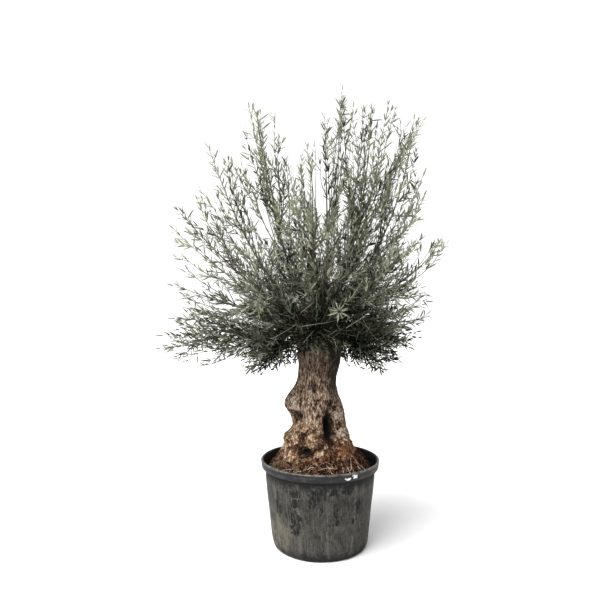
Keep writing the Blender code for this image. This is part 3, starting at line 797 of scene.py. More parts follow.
def trunk_relief(points, knobbly):
    """How far the bark stands out: crusted knobs on the burls, upright flakes and cracks elsewhere."""
    (large, large_size), (middle, middle_size), (small, small_size) = KNOBS
    knobs = large * lumps(points, large_size) + middle * lumps(points, middle_size)
    knobs = knobs + small * lumps(points, small_size)
    crust = 0.0075 * clouds(points, 38.0, 4)
    furrows = 1.0 - 2.6 * np.abs(clouds(points, FURROW_SCALE))
    plain = 0.0028 * clouds(points, FLAKE_SCALE) + 0.0014 * furrows
    cracks = np.clip(clouds(points, CRACK_SCALE) - 0.50, 0.0, 0.35)
    grain = 0.0012 * clouds(points, 170.0, 2)
    return knobbly * (knobs + crust) + (1.0 - 0.5 * knobbly) * plain + grain - 0.016 * cracks


def make_trunk():
    foot = GROUND - 0.020
    top = TRUNK_PROFILE[-1][0]
    heights = np.linspace(foot, top, TRUNK_RINGS)
    angles = np.arange(TRUNK_SIDES) * math.tau / TRUNK_SIDES
    height, angle = np.meshgrid(heights, angles, indexing="ij")
    centre, radius = trunk_skin(height, angle)

    def at(radius):
        x, y = centre + radius * np.cos(angle), radius * np.sin(angle)
        return np.stack([x, y, height], axis=-1).reshape(-1, 3)

    knobbly, hollow_shade = knobbly_and_hollow_shade(height, angle)
    relief = trunk_relief(at(radius), knobbly)
    points = at(radius + relief.reshape(radius.shape))
    ends = [[[centre[0, 0], 0.0, foot]], [[centre[-1, 0], 0.0, top + 0.01]]]
    points = np.concatenate([ends[0], points, ends[1]])
    triangles = skin_triangles(TRUNK_RINGS, TRUNK_SIDES)
    trunk = new_piece("trunk_bark", [(points, triangles)], [trunk_material()])
    # Painted shade: the relief attribute sinks in the hollows by their painted shade, and in furrows and
    # cracks by their depth, which darkens the bark's colour there.
    ragged = hollow_shade * (0.95 + 0.6 * clouds(at(radius), 45.0))
    level = np.clip(0.56 + relief / (0.010 + 0.022 * knobbly) - 1.25 * ragged, 0.0, 1.0)
    attribute = trunk.data.attributes.new("relief", "FLOAT", "POINT")
    attribute.data.foreach_set("value", np.concatenate([[0.5], level, [0.5]]).astype(np.float32))
    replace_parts(trunk, "trunk")


# ---- The rule that limbs and wands grow by, as in the CAD ----

COLLAR_REACH = 0.212
COLLAR_ROOT = 0.070
COLLAR_ROOT_RADIUS = 0.046
COLLAR_RADIUS = 0.024
LEAST_LIMB_ANGLE = math.radians(18.5)
START_OUTWARD = 0.35
START_UPWARD = 0.12
PUSHES = 60
LIMB_POINTS = 25
LIMB_HANDS = (0.35, 0.33)
BOUGH_RADIUS = 0.022
BOUGH_LENGTH = 0.21
BOUGH_SIDES = 12
BOUGH_STEP = 0.008
# Name, azimuth of the furthest tip in degrees, its reach from the axis, its height, how
# far it turns up, the spread of its wands, their number, and whether it has a bough.
LIMBS = [
    ("tall_centre", 75, 0.13, 3.07, 0.55, 0.17, 8, True),
    ("tall_left", 166, 0.46, 2.93, 0.40, 0.17, 8, True),
    ("tall_mid_right", 350, 0.36, 2.98, 0.60, 0.14, 8, True),
    ("tall_right", 5, 0.64, 2.86, 0.70, 0.16, 8, True),
    ("high_left", 172, 0.79, 2.70, 0.30, 0.12, 6, True),
    ("front_high", 262, 0.36, 2.45, 0.45, 0.20, 7, True),
    ("back_high", 100, 0.42, 2.64, 0.50, 0.18, 7, True),
    ("upper_left", 188, 0.96, 2.23, 0.12, 0.17, 8, True),
    ("middle_left", 176, 1.02, 1.73, 0.05, 0.13, 8, True),
    ("front_left", 228, 0.79, 1.90, 0.25, 0.20, 8, True),
    ("front_middle", 275, 0.58, 2.00, 0.35, 0.20, 8, True),
    ("front_right", 313, 0.70, 1.92, 0.30, 0.18, 8, True),
    ("middle_right", 2, 0.83, 2.05, 0.35, 0.11, 7, True),
    ("back_right", 44, 0.79, 2.07, 0.30, 0.18, 8, True),
    ("back_middle", 92, 0.79, 1.97, 0.30, 0.20, 8, True),
    ("back_left", 136, 0.85, 2.00, 0.25, 0.20, 8, True),
    ("low_left", 184, 1.14, 1.26, -0.12, 0.15, 8, False),
    ("hanging_left", 214, 0.56, 1.19, -0.35, 0.12, 6, False),
    ("front_low", 262, 0.55, 1.44, 0.05, 0.18, 8, False),
    ("hanging_right", 325, 0.56, 1.24, -0.20, 0.15, 8, False),
    ("low_right", 356, 0.75, 1.52, 0.10, 0.16, 8, False),
    ("back_low_right", 48, 0.75, 1.42, 0.05, 0.17, 8, False),
    ("back_low", 96, 0.77, 1.46, 0.05, 0.18, 8, False),
    ("back_low_left", 142, 0.79, 1.44, 0.05, 0.18, 8, False),
]
TIP_BLADE = 0.125
TIP_SUNK = 0.012
WAND_POINTS = 15
WAND_ROOTS = (0.04, 0.44)
WAND_TIPS = (0.50, 0.98)
WAND_DRAWN_IN = (1.0, 0.7, 0.45, 0.25)
# How far wands reach sideways, how much less of it is left at the mass's tip, and their variety.
WAND_REACHES = (1.35, 0.75)
WAND_VARIETY = (0.7, 1.25)
WAND_TURNS = (0.0, 0.8)
WAND_HANDS = (0.3, 0.35)
GOLDEN_SHARE = 0.618
WAND_RADIUS = 0.0065
SPACE_MARGIN = 0.006
LIMB_MARGIN = 0.008
SHORTEST_WAND = 0.15


def limb_tip(limb):
    _, azimuth, reach, height, *_ = limb
    return around(azimuth, height, reach)


def limb_starts():
    """The way each limb leaves the head, pushed apart until none crowds another."""
    starts = []
    for limb in LIMBS:
        chord = unit(limb_tip(limb) - HEAD)
        level = unit(np.array([chord[0], chord[1], 0.0]))
        outward = START_OUTWARD if chord[2] > 0 else 0.0
        starts.append(unit(chord + outward * level + START_UPWARD * UP))
    starts = np.array(starts)
    for _ in range(PUSHES):
        for i in range(len(starts)):
            for j in range(i):
                angle = math.acos(np.clip(np.dot(starts[i], starts[j]), -1.0, 1.0))
                if angle < LEAST_LIMB_ANGLE:
                    push = 0.5 * (LEAST_LIMB_ANGLE - angle) * unit(starts[i] - starts[j])
                    starts[i] = unit(starts[i] + push)
                    starts[j] = unit(starts[j] - push)
    return starts


def limb_line(limb, start):
    """The centre line of a limb, from its collar to the tip of its mass."""
    rise = limb[4]
    root = HEAD + start * (COLLAR_REACH + GAP)
    tip = limb_tip(limb)
    end = unit(unit(tip - root) * (1.0 - abs(rise)) + UP * rise)
    tip = tip - (TIP_BLADE - TIP_SUNK) * end
    length = np.linalg.norm(tip - root)
    near, far = LIMB_HANDS
    return bezier(root, root + near * length * start, tip - far * length * end, tip, LIMB_POINTS)


def bough_end(limb, line):
    """The number of the point on a limb's line where its bough ends, or 0 with no bough."""
    return int(np.searchsorted(lengths_along(line), BOUGH_LENGTH)) if limb[7] else 0


def distance_to_line(points, line):
    """Distance from each point to the nearest place on a line."""
    a, b = line[:-1], line[1:]
    step = b - a
    share = np.einsum("pkj,kj->pk", points[:, None] - a[None], step) / np.einsum("kj,kj->k", step, step)
    nearest = a[None] + np.clip(share, 0.0, 1.0)[..., None] * step[None]
    return np.linalg.norm(points[:, None] - nearest, axis=2).min(axis=1)


def in_own_space(points, number, lines, margin):
    """True where a point is nearer its own limb than any other, and clear of boughs and trunk."""
    distances = np.array([distance_to_line(points, line) for line in lines])
    own = distances[number].copy()
    distances[number] = np.inf
    clear = distances.min(axis=0) - own > 2 * margin
    for limb, line in zip(LIMBS, lines):
        end = bough_end(limb, line)
        if end:
            clear &= distance_to_line(points, line[: end + 1]) > BOUGH_RADIUS + LIMB_MARGIN
    head_distance = np.linalg.norm(points - HEAD, axis=1)
    axis_distance = np.hypot(points[:, 0] - HEAD[0], points[:, 1])
    beside_trunk = (points[:, 2] < HEAD[2]) & (axis_distance < COLLAR_REACH)
    return clear & (head_distance > COLLAR_REACH + LIMB_MARGIN) & ~beside_trunk


def wand_lines(number, limb, stem, lines):
    """Long shoots that leave the stem low down and run up beside it, spread round it."""
    rng = np.random.default_rng([11, number])
    along, side, lift = frames(stem)
    last = len(stem) - 1
    spread, count = limb[5], limb[6]
    widest, narrowing = WAND_REACHES
    near, far = WAND_HANDS
    wands = []
    for k in range(count):
        place = (k + 0.5) / count
        low = 1 + int(np.interp((k * GOLDEN_SHARE + 0.3) % 1.0, (0.0, 1.0), WAND_ROOTS) * last)
        high = int(np.interp(place, (0.0, 1.0), WAND_TIPS) * last)
        turn = GOLDEN_ANGLE * k + rng.uniform(*WAND_TURNS)
        reach = spread * (widest - narrowing * place) * rng.uniform(*WAND_VARIETY)
        out = math.cos(turn) * side[high] + math.sin(turn) * lift[high]
        root = stem[low]
        leave = unit(along[low] + 0.7 * out)
        arrive = unit(0.7 * along[-1] + 0.5 * along[high] + 0.3 * out + 0.25 * UP)
        for drawn_in in WAND_DRAWN_IN:
            tip = stem[high] + drawn_in * reach * out
            length = np.linalg.norm(tip - root)
            hands = (root + near * length * leave, tip - far * length * arrive)
            wand = bezier(root, *hands, tip, WAND_POINTS)
            inside = in_own_space(wand[2:], number, lines, SPACE_MARGIN + WAND_RADIUS)
            if inside.all():
                break
        kept = len(wand) if inside.all() else 2 + int(np.argmin(inside))
        if kept > 3 and lengths_along(wand[:kept])[-1] > SHORTEST_WAND:
            wands.append(wand[:kept])
    return wands


# ---- Crown: what grows on from the rule ----

# Radii of what shows, thinner than in the CAD.
STEM_LOOK = 0.0075
WAND_LOOK = 0.0038
SHOOT_RADIUS = 0.0021
TWIG_TIP_RADIUS = 0.0015
# Each line runs on to a thinner end, and carries side shoots and opposite pairs of leaves.
RUN_ON = 0.050
SHOOT_SPACINGS = (0.082, 0.160)
SHOOT_SPACING_HEIGHTS = (1.6, 2.2)
SHOOT_LENGTHS = (0.07, 0.25)
SHOOT_POINTS = 7
# How a side shoot's turn and length vary, and how far it leans out, in degrees.
SHOOT_TURNS = (-0.5, 0.5)
SHOOT_VARIETY = (0.6, 1.2)
SHOOT_LEANS = (18, 42)
BOUGH_SHOOT_SPACING = 0.05
TRUNK_CLEARANCE = 0.01
# Where leaves begin along a wand and a shoot, and shoots along a wand, a filler and a bough.
WAND_LEAVES_FROM = 0.25
SHOOT_LEAVES_FROM = 0.08
WAND_SHOOTS_FROM = 0.10
FILLER_SHOOTS_FROM = 0.08
BOUGH_SHOOTS_FROM = 0.05
# How far a line's end strays sideways, as a share of its length, and how much it winds on the way.
SWAY = 0.055
SWAY_WAVE = 0.35
# How far leaves may reach past the CAD's box.
LEAF_BEYOND = 0.05
# The crown's lower edge, from left to right: places aside, and how low leaves hang there.
SKIRT_PLACES = (-1.15, -0.80, -0.58, -0.50, -0.38, -0.16, -0.10, 0.10, 0.16, 0.38, 0.50, 0.64, 0.80)
SKIRT_HEIGHTS = (1.13, 1.17, 1.21, 1.17, 1.12, 1.20, 1.30, 1.30, 1.20, 1.15, 1.20, 1.26, 1.34)
# Filler wands close the crown between the masses: their aims are spread evenly round the
# head, out to lobes about each limb's tip, and no nearer than a full core. A row gives their
# number and how far out they end; FILLER_ROOTS says where they leave a limb.
FILLERS = [(150, (0.52, 0.84)), (150, (0.30, 0.58))]
FILLER_ROOTS = (0.22, 0.45)
FILLER_LOWEST = math.radians(-22)
FILLER_POINTS = 13
LOBE_WIDTH = 17.0
CORE_REACH = 0.72
# Seen from the front, the crown stands open in some places and reaches out in others. Both are
# given on the plane of the trunk, as seen from an eye at this height and distance.
EYE_HEIGHT = 1.60
EYE_DISTANCE = 3.70
# Places aside and up, half widths, half heights and the share of leaves left out there.
OPENINGS = [
    (0.005, 2.37, 0.090, 0.15, 0.95), (-0.370, 2.16, 0.060, 0.09, 0.85),
    (-0.290, 2.42, 0.050, 0.12, 0.60), (-0.760, 1.80, 0.180, 0.17, 0.60),
    (-0.860, 1.74, 0.080, 0.09, 0.75), (-0.640, 1.59, 0.100, 0.06, 0.70),
    (-0.970, 1.60, 0.100, 0.06, 0.40), (0.760, 1.79, 0.110, 0.15, 0.75),
    (0.560, 1.62, 0.070, 0.06, 0.50), (0.660, 1.97, 0.090, 0.06, 0.50),
    (-0.800, 1.66, 0.080, 0.05, 0.70), (0.400, 2.94, 0.045, 0.15, 0.80),
    (0.440, 2.50, 0.050, 0.07, 0.60), (0.150, 2.64, 0.050, 0.10, 0.60),
    (0.270, 2.58, 0.100, 0.12, 0.60), (0.030, 3.04, 0.060, 0.13, 0.95),
    (-0.080, 2.88, 0.060, 0.18, 0.95), (-0.215, 2.88, 0.085, 0.22, 0.95),
]
# A line's end is cut back where more than this share of the leaves is left out.
CUT_BACK_SHARE = 0.75
LEAST_POINTS = 4
# Places aside and up, and how far back: the ends of single wands that reach out there.
AIMS = [
    (0.13, 2.95, 0.05), (0.16, 2.88, -0.05), (0.21, 2.82, 0.05), (0.30, 2.86, 0.00),
    (0.30, 2.80, -0.05), (0.02, 2.80, 0.05), (0.00, 2.86, -0.05), (-0.04, 2.56, -0.05),
    (-0.46, 2.82, 0.05), (-0.52, 2.48, -0.05), (-0.42, 2.80, -0.08), (-0.38, 2.70, 0.00),
    (-0.21, 2.48, 0.05), (-0.12, 2.48, -0.10), (0.45, 2.80, 0.00), (0.60, 2.74, 0.00),
    (0.50, 2.70, -0.05), (0.60, 2.14, 0.05), (0.57, 2.74, 0.05), (0.58, 2.60, -0.05),
    (0.38, 2.10, 0.00), (0.14, 2.04, -0.20), (0.28, 2.20, 0.00), (0.12, 2.12, -0.10),
    (0.32, 2.10, -0.10), (0.30, 2.02, 0.10), (0.62, 1.98, 0.00), (0.56, 1.92, 0.10),
    (0.30, 1.98, -0.20), (-0.76, 1.30, -0.10), (-0.66, 1.33, 0.05), (0.54, 1.24, 0.05),
    (-0.92, 1.52, 0.00), (-0.88, 1.56, -0.10), (-1.02, 1.27, 0.00), (-0.90, 1.36, 0.00),
    (-0.80, 1.35, -0.05), (-0.27, 1.27, -0.10), (-0.34, 1.22, -0.15), (-0.30, 1.24, 0.05),
    (-0.21, 1.24, 0.10), (-0.14, 1.27, -0.30), (-0.22, 1.23, -0.30), (0.10, 1.24, -0.30),
    (0.17, 1.25, -0.15), (0.22, 1.22, -0.10), (0.26, 1.21, 0.05), (0.32, 1.20, 0.00),
    (0.14, 1.24, 0.10), (0.55, 1.34, 0.00), (0.60, 1.30, 0.10), (-0.44, 1.16, -0.30),
    (-0.40, 1.17, -0.34),
]
# Twigs without leaves: start, bend and end of each, and their radii from root to tip.
BARE_TWIGS = [
    [(-0.108, -0.62, 1.545), (-0.070, -0.64, 1.576), (-0.036, -0.62, 1.604)],
    [(0.155, -0.62, 1.606), (0.200, -0.64, 1.664), (0.238, -0.62, 1.732)],
    [(-0.280, -0.56, 1.395), (-0.200, -0.60, 1.432), (-0.135, -0.58, 1.480)],
    [(-0.104, -0.52, 1.362), (-0.070, -0.54, 1.404), (-0.040, -0.52, 1.436)],
    [(0.145, -0.62, 1.460), (0.200, -0.64, 1.496), (0.268, -0.60, 1.540)],
    [(-0.114, -0.60, 1.466), (-0.030, -0.63, 1.482), (0.048, -0.60, 1.490)],
    [(-0.305, -0.20, 1.265), (-0.262, -0.21, 1.055), (-0.185, -0.18, 1.250)],
    [(-0.215, -0.03, 0.752), (-0.232, -0.04, 0.778), (-0.248, -0.05, 0.808)],
]
BARE_TWIG_RADII = (0.0014, 0.0009)
BARE_TWIG_POINTS = 14
# A coiled twig in front of the crown.
COIL_PLACE = np.array([0.078, -0.70, 1.764])
COIL_RADII = (0.046, 0.024)
COIL_TURNS = 3.3
COIL_POINTS = 80
COIL_TWIG_RADIUS = 0.0018
# A pale shoot that points to the front, its leaves spread like a star.
STAR_PLACE = np.array([0.106, -0.66, 1.552])
STAR_LEAVES = 13
STAR_LENGTHS = (0.038, 0.068)
STAR_TINT = 4
# A shoot that hangs clear of the crown: its start, bend and end.
HANGING_SHOOT = [(-0.300, -0.20, 1.285), (-0.375, -0.25, 1.238), (-0.455, -0.27, 1.172)]
HANGING_LEAF_SIZE = 1.35
HANGING_TINT = 3
HANGING_LEAVES_FROM = 0.15
# Leaves: lance-shaped, flat above and keeled below, in opposite pairs. Those near the head
# are smaller and those far out larger.
LEAF_SPACING = 0.037
LEAF_LENGTH = 0.066
LEAF_WIDTH = 0.165
LEAF_SIZE_REACHES = (0.40, 1.00)
LEAF_SIZES = (0.74, 1.14)
LEAF_LEANS = (20.0, 52.0)
LEAF_VARIETY = (0.72, 1.25)
END_LEAF_LEAN = math.radians(12)
LEAF_KEEL = 0.030
LEAF_CURL = 0.12
# The edge between a leaf's root and its tip: how far along it, and how wide there.
LEAF_OUTLINE = [(0.28, 0.90), (0.66, 0.84)]
# Leaf tints, from the painted shade inside the crown to the painted light on its youngest tips: upper face,
# underside.
LEAF_TINTS = [
    ("shaded", (0.006, 0.008, 0.005), (0.015, 0.018, 0.012)),
    ("old_and_shaded", (0.022, 0.027, 0.016), (0.056, 0.062, 0.043)),
    ("deep", (0.050, 0.057, 0.036), (0.120, 0.128, 0.095)),
    ("grey", (0.088, 0.096, 0.064), (0.200, 0.208, 0.162)),
    ("silver", (0.135, 0.142, 0.102), (0.290, 0.296, 0.240)),
    ("young_and_lit", (0.170, 0.184, 0.108), (0.310, 0.322, 0.230)),
]
# How glossy the leaves of each tint are: the shaded ones are dull.
LEAF_GLOSS = (0.08, 0.20, 0.45, 0.45, 0.45, 0.45)
TOP_ROUGHNESS = 0.48
UNDER_ROUGHNESS = 0.80
# Faint clouds on a leaf: where on the noise, and how bright there.
LEAF_CLOUDS = [(0.32, 0.78), (0.68, 1.24)]
# Painted light on the whole crown, with painted shade in one part: their middles and half sizes.
CROWN_MIDDLE = (0.0, 0.0, 1.75)
CROWN_SIZE = (0.85, 0.70, 1.10)
SHADE_MIDDLE = (0.05, 0.0, 1.34)
SHADE_SIZE = (0.36, 0.85, 0.36)
# Heights where the crown's high part and its top begin, and how far up they take hold.
HIGH_PART = (1.30, 0.75)
TOP_PART = (2.40, 0.40)
# How much tints vary: from the crown's inside to its outside.
TINT_DEPTHS = (0.5, 1.0)
TINT_VARIETY = (1.8, 1.1)
STEM_COLOURS = ((0.120, 0.112, 0.078), (0.045, 0.040, 0.028))
SHOOT_COLOURS = ((0.260, 0.262, 0.190), (0.120, 0.122, 0.086))
BARE_TWIG_COLOURS = ((0.235, 0.232, 0.182), (0.140, 0.136, 0.104))


def leaf_material(name, colour, roughness, gloss):
    """One tint with a faint cloudiness, so that no two leaves are quite alike."""
    paint = Paint(name, roughness, gloss)
    stops = [(place, tuple(share * value for value in colour)) for place, share in LEAF_CLOUDS]
    paint.colour = paint.ramp(paint.noise(55.0, 2.0, 0.5), stops)
    return paint.finished()


def run_on(line):
    """The line carried on straight past its end, further where it points up."""
    way = unit(line[-1] - line[-2])
    further = RUN_ON * (0.8 + max(way[2], 0.0)) * way
    return np.concatenate([line, [line[-1] + 0.5 * further, line[-1] + further]])


def swayed(seed, line):
    """The line with a slow bend to one side, and a wave in it, that both grow towards its end."""
    rng = np.random.default_rng([43, *seed])
    distance = lengths_along(line)
    share = (distance / distance[-1])[:, None]
    _, side, lift = frames(line)
    turn = rng.uniform(0.0, math.tau)
    out = math.cos(turn) * side + math.sin(turn) * lift
    bend = rng.uniform(0.3, 1.0) * share**2
    wave = SWAY_WAVE * share * np.sin(math.tau * share + rng.uniform(0.0, math.tau))
    sway = SWAY * distance[-1] * (bend + wave) * out
    return line + sway if in_box(line + sway, 0.0).all() else line - sway


def cut_back(line):
    """The line without the end that stands in an open place of the crown."""
    closed = np.flatnonzero(open_share(line) < CUT_BACK_SHARE)
    return line[: max(closed.max(initial=0) + 1, LEAST_POINTS)]


def in_box(points, margin):
    """True where points reach no further past the CAD's box than a margin."""
    low, high = np.array(cad_box)
    return np.all((points > low - margin) & (points < high + margin), axis=-1)


def clear_of_trunk(points):
    """True where points are clear of the trunk and the head's collars."""
    centre, radius = trunk_skin(points[:, 2], np.arctan2(points[:, 1], points[:, 0] - HEAD[0]))
    return np.hypot(points[:, 0] - centre, points[:, 1]) > radius + TRUNK_CLEARANCE


def above_skirt(points):
    """True where points are above the crown's lower edge, which is highest round the trunk."""
    return points[:, 2] > np.interp(points[:, 0], SKIRT_PLACES, SKIRT_HEIGHTS)


def shoot_spacing(line):
    """Side shoots stand closer together in the crown's core than at its top."""
    return float(np.interp(line[:, 2].mean(), SHOOT_SPACING_HEIGHTS, SHOOT_SPACINGS))


def side_shoots(seed, line, first, spacing):
    """Short shoots along a line, each a golden angle on, shorter towards its end."""
    rng = np.random.default_rng(seed)
    distance = lengths_along(line)
    along, side, lift = frames(line)
    shortest, longest = SHOOT_LENGTHS
    shoots = []
    place = first * distance[-1] + rng.uniform(0, spacing)
    while place < 0.95 * distance[-1]:
        share = place / distance[-1]
        i = min(int(np.searchsorted(distance, place)), len(line) - 1)
        root = at_distances(line, distance, place)
        turn = GOLDEN_ANGLE * len(shoots) + rng.uniform(*SHOOT_TURNS)
        out = math.cos(turn) * side[i] + math.sin(turn) * lift[i]
        length = (shortest + (longest - shortest) * (1 - share)) * rng.uniform(*SHOOT_VARIETY)
        lean = math.radians(rng.uniform(*SHOOT_LEANS))
        leave = unit(math.cos(lean) * along[i] + math.sin(lean) * out)
        arrive = unit(leave + 0.35 * along[i] + 0.25 * UP)
        tip = root + length * unit(leave + 0.8 * arrive)
        hands = (root + 0.35 * length * leave, tip - 0.35 * length * arrive)
        shoot = bezier(root, *hands, tip, SHOOT_POINTS)
        clear = clear_of_trunk(shoot[2:]).all()
        if clear and above_skirt(shoot[-1:]).all() and in_box(shoot[-1], LEAF_BEYOND):
            shoots.append(shoot)
        place += spacing * rng.uniform(0.7, 1.3)
    return shoots


def leaf_places(seed, line, first):
    """Root, direction, upper side and length of a shoot's leaves, in pairs a quarter turn apart."""
    rng = np.random.default_rng(seed)
    distance = lengths_along(line)
    total = distance[-1]
    along, side, _ = frames(line)
    larger = np.interp(np.linalg.norm(line.mean(axis=0) - HEAD), LEAF_SIZE_REACHES, LEAF_SIZES)
    spacing = LEAF_SPACING * larger
    places = np.append(np.arange(first * total, total - 0.3 * spacing, spacing), total)
    count = len(places)
    root = at_distances(line, distance, places)
    forward = unit(at_distances(along, distance, places))
    across = at_distances(side, distance, places)
    across = unit(across - forward * np.sum(across * forward, axis=1, keepdims=True))
    other = np.cross(forward, across)
    turn = np.arange(count) * math.pi / 2 + rng.uniform(-0.35, 0.35, count) + rng.uniform(0, math.tau)
    found = []
    for half in (0.0, math.pi):
        out = np.cos(turn + half)[:, None] * across + np.sin(turn + half)[:, None] * other
        lean = np.radians(rng.uniform(*LEAF_LEANS, count))
        lean[-1] = END_LEAF_LEAN
        lean = lean[:, None]
        direction = unit(np.cos(lean) * forward + np.sin(lean) * out)
        upper = np.sin(lean) * forward - np.cos(lean) * out + 0.5 * UP + rng.normal(0, 0.35, (count, 3))
        size = LEAF_LENGTH * rng.uniform(*LEAF_VARIETY, count) * (1 - 0.3 * (places / total) ** 4)
        size = size * np.interp(np.linalg.norm(root - HEAD, axis=1), LEAF_SIZE_REACHES, LEAF_SIZES)
        found.append((root, direction, upper, size))
    return [np.concatenate(parts) for parts in zip(*found)]


def leaf_points(root, direction, upper, size, rng):
    """Root, two rings of edge, keel and edge, and tip of each leaf, curled back as it goes."""
    across = unit(np.cross(direction, upper))
    upper = np.cross(across, direction)
    width = 0.5 * LEAF_WIDTH * size * rng.uniform(0.85, 1.15, len(size))
    curl = LEAF_CURL * rng.uniform(0.2, 1.8, len(size)) * size

    def centre(share):
        return root + share * size[:, None] * direction - (curl * share * share)[:, None] * upper

    rows = [root]
    for share, part in LEAF_OUTLINE:
        middle = centre(share)
        edge = (part * width)[:, None] * across
        keel = (part * LEAF_KEEL * size)[:, None] * upper
        rows += [middle + edge, middle - keel, middle - edge]
    rows.append(centre(1.0))
    return np.stack(rows, axis=1)


def make_leaves(sprays):
    """The leaves of each tint, joined into one piece."""
    sides = 3
    triangles = skin_triangles(len(LEAF_OUTLINE), sides)
    keel = 2
    under = np.any((triangles == keel) | (triangles == keel + sides), axis=1)
    for number, (tint, top_colour, under_colour) in enumerate(LEAF_TINTS):
        parts = [spray for spray, chosen in sprays if chosen == number]
        root, direction, upper, size = (np.concatenate(values) for values in zip(*parts))
        rng = np.random.default_rng([17, number])
        points = leaf_points(root, direction, upper, size, rng)
        count, each = points.shape[:2]
        faces = (triangles[None] + each * np.arange(count)[:, None, None]).reshape(-1, 3)
        gloss = LEAF_GLOSS[number]
        materials = [
            leaf_material(f"leaf_{tint}_top", top_colour, TOP_ROUGHNESS, gloss),
            leaf_material(f"leaf_{tint}_under", under_colour, UNDER_ROUGHNESS, 0.5 * gloss),
        ]
        bodies = [(points.reshape(-1, 3), faces)]
        leaves = new_piece(f"leaves_{tint}", bodies, materials, False, np.tile(under, count))
        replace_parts(leaves, *(limb[0] + "_leaves" for limb in LIMBS))


def even_ways(count, lowest):
    """Directions spread evenly from straight up down to an elevation."""
    k = np.arange(count)
    rise = 1.0 - (1.0 - math.sin(lowest)) * (k + 0.5) / count
    level = np.sqrt(1.0 - rise * rise)
    return np.stack([level * np.cos(GOLDEN_ANGLE * k), level * np.sin(GOLDEN_ANGLE * k), rise], axis=-1)


def crown_reach(way):
    """How far the crown reaches from the head in a direction."""
    tips = np.array([limb_tip(limb) for limb in LIMBS]) - HEAD
    spans = np.linalg.norm(tips, axis=1)
    angles = np.degrees(np.arccos(np.clip(tips @ way / spans, -1.0, 1.0)))
    lobes = spans * (1.0 - (angles / LOBE_WIDTH) ** 2)
    return max(lobes.max(), CORE_REACH)


def wand_to(aim, lines, rng):
    """A wand from the nearest limb to an aim."""
    halfway = 0.5 * (HEAD + aim)
    reach = np.linalg.norm(aim - HEAD)
    near = lines[int(np.argmin([distance_to_line(halfway[None], line)[0] for line in lines]))]
    out = np.linalg.norm(near - HEAD, axis=1)
    start = int(np.argmin(np.abs(out - max(COLLAR_REACH, rng.uniform(*FILLER_ROOTS) * reach))))
    root = near[start]
    along = unit(near[min(start + 1, len(near) - 1)] - near[max(start - 1, 0)])
    length = np.linalg.norm(aim - root)
    straight = unit(aim - root)
    leave = unit(along + 0.9 * straight)
    arrive = unit(straight + 0.35 * max(straight[2], 0.0) * UP)
    hands = (root + 0.3 * length * leave, aim - 0.35 * length * arrive)
    return bezier(root, *hands, aim, FILLER_POINTS)


def filler_wands(lines):
    """Wands to aims spread evenly through the crown, then wands to the aims that are listed."""
    wands = []
    for count, shares in FILLERS:
        rng = np.random.default_rng([29, count])
        for way in even_ways(count, FILLER_LOWEST):
            wands.append(wand_to(HEAD + crown_reach(way) * rng.uniform(*shares) * way, lines, rng))
    rng = np.random.default_rng(37)
    for aside, height, back in AIMS:
        scale = (EYE_DISTANCE + back) / EYE_DISTANCE
        aim = np.array([aside * scale, back, EYE_HEIGHT + (height - EYE_HEIGHT) * scale])
        wands.append(wand_to(aim, lines, rng))
    return [wand for wand in wands if clear_of_trunk(wand[2:]).all()]


def open_share(points):
    """The share of leaves left out at each point because the crown stands open there from the front."""
    scale = EYE_DISTANCE / (EYE_DISTANCE + points[:, 1])
    aside = points[:, 0] * scale
    height = EYE_HEIGHT + (points[:, 2] - EYE_HEIGHT) * scale
    share = np.zeros(len(points))
    for x, z, half_width, half_height, part in OPENINGS:
        inside = ((aside - x) / half_width) ** 2 + ((height - z) / half_height) ** 2 < 1.0
        share = np.maximum(share, part * inside)
    return share


def choose_tint(rng, middle):
    """Painted light and shade on the leaves: lighter tints high up, far out and on the left, darker ones as
    painted shade about the head.
    """
    depth = np.linalg.norm((middle - CROWN_MIDDLE) / CROWN_SIZE)
    high, top = (np.clip((middle[2] - low) / rise, 0.0, 1.0) for low, rise in (HIGH_PART, TOP_PART))
    shade = np.clip(1.0 - np.linalg.norm((middle - SHADE_MIDDLE) / SHADE_SIZE), 0.0, 1.0)
    left = np.clip(-0.15 - middle[0], 0.0, 0.6)
    light = 2.9 * high - 1.00 * top + 1.5 * (depth - 0.5) + 0.45 - 0.30 * middle[0] - 4.5 * shade
    light += 2.4 * left * (1.0 - high)
    light += rng.normal(0.0, np.interp(depth, TINT_DEPTHS, TINT_VARIETY))
    return int(np.clip(round(light), 0, len(LEAF_TINTS) - 1))


def bare_twigs():
    """Thin twigs with no leaves, in front of the crown and under it, and one curled into a coil."""
    turns = np.linspace(0.0, COIL_TURNS * math.tau, COIL_POINTS)
    radius = np.linspace(*COIL_RADII, COIL_POINTS) * (1.0 + 0.10 * np.sin(1.37 * turns))
    coil = [radius * np.cos(turns), 0.012 * np.sin(0.5 * turns), 0.8 * radius * np.sin(turns + 0.25)]
    coil = tube(COIL_PLACE + np.stack(coil, axis=-1), np.full(COIL_POINTS, COIL_TWIG_RADIUS), 4)
    lines = [bent(points, BARE_TWIG_POINTS) for points in BARE_TWIGS]
    return [coil] + [tapered(line, *BARE_TWIG_RADII, 4) for line in lines]


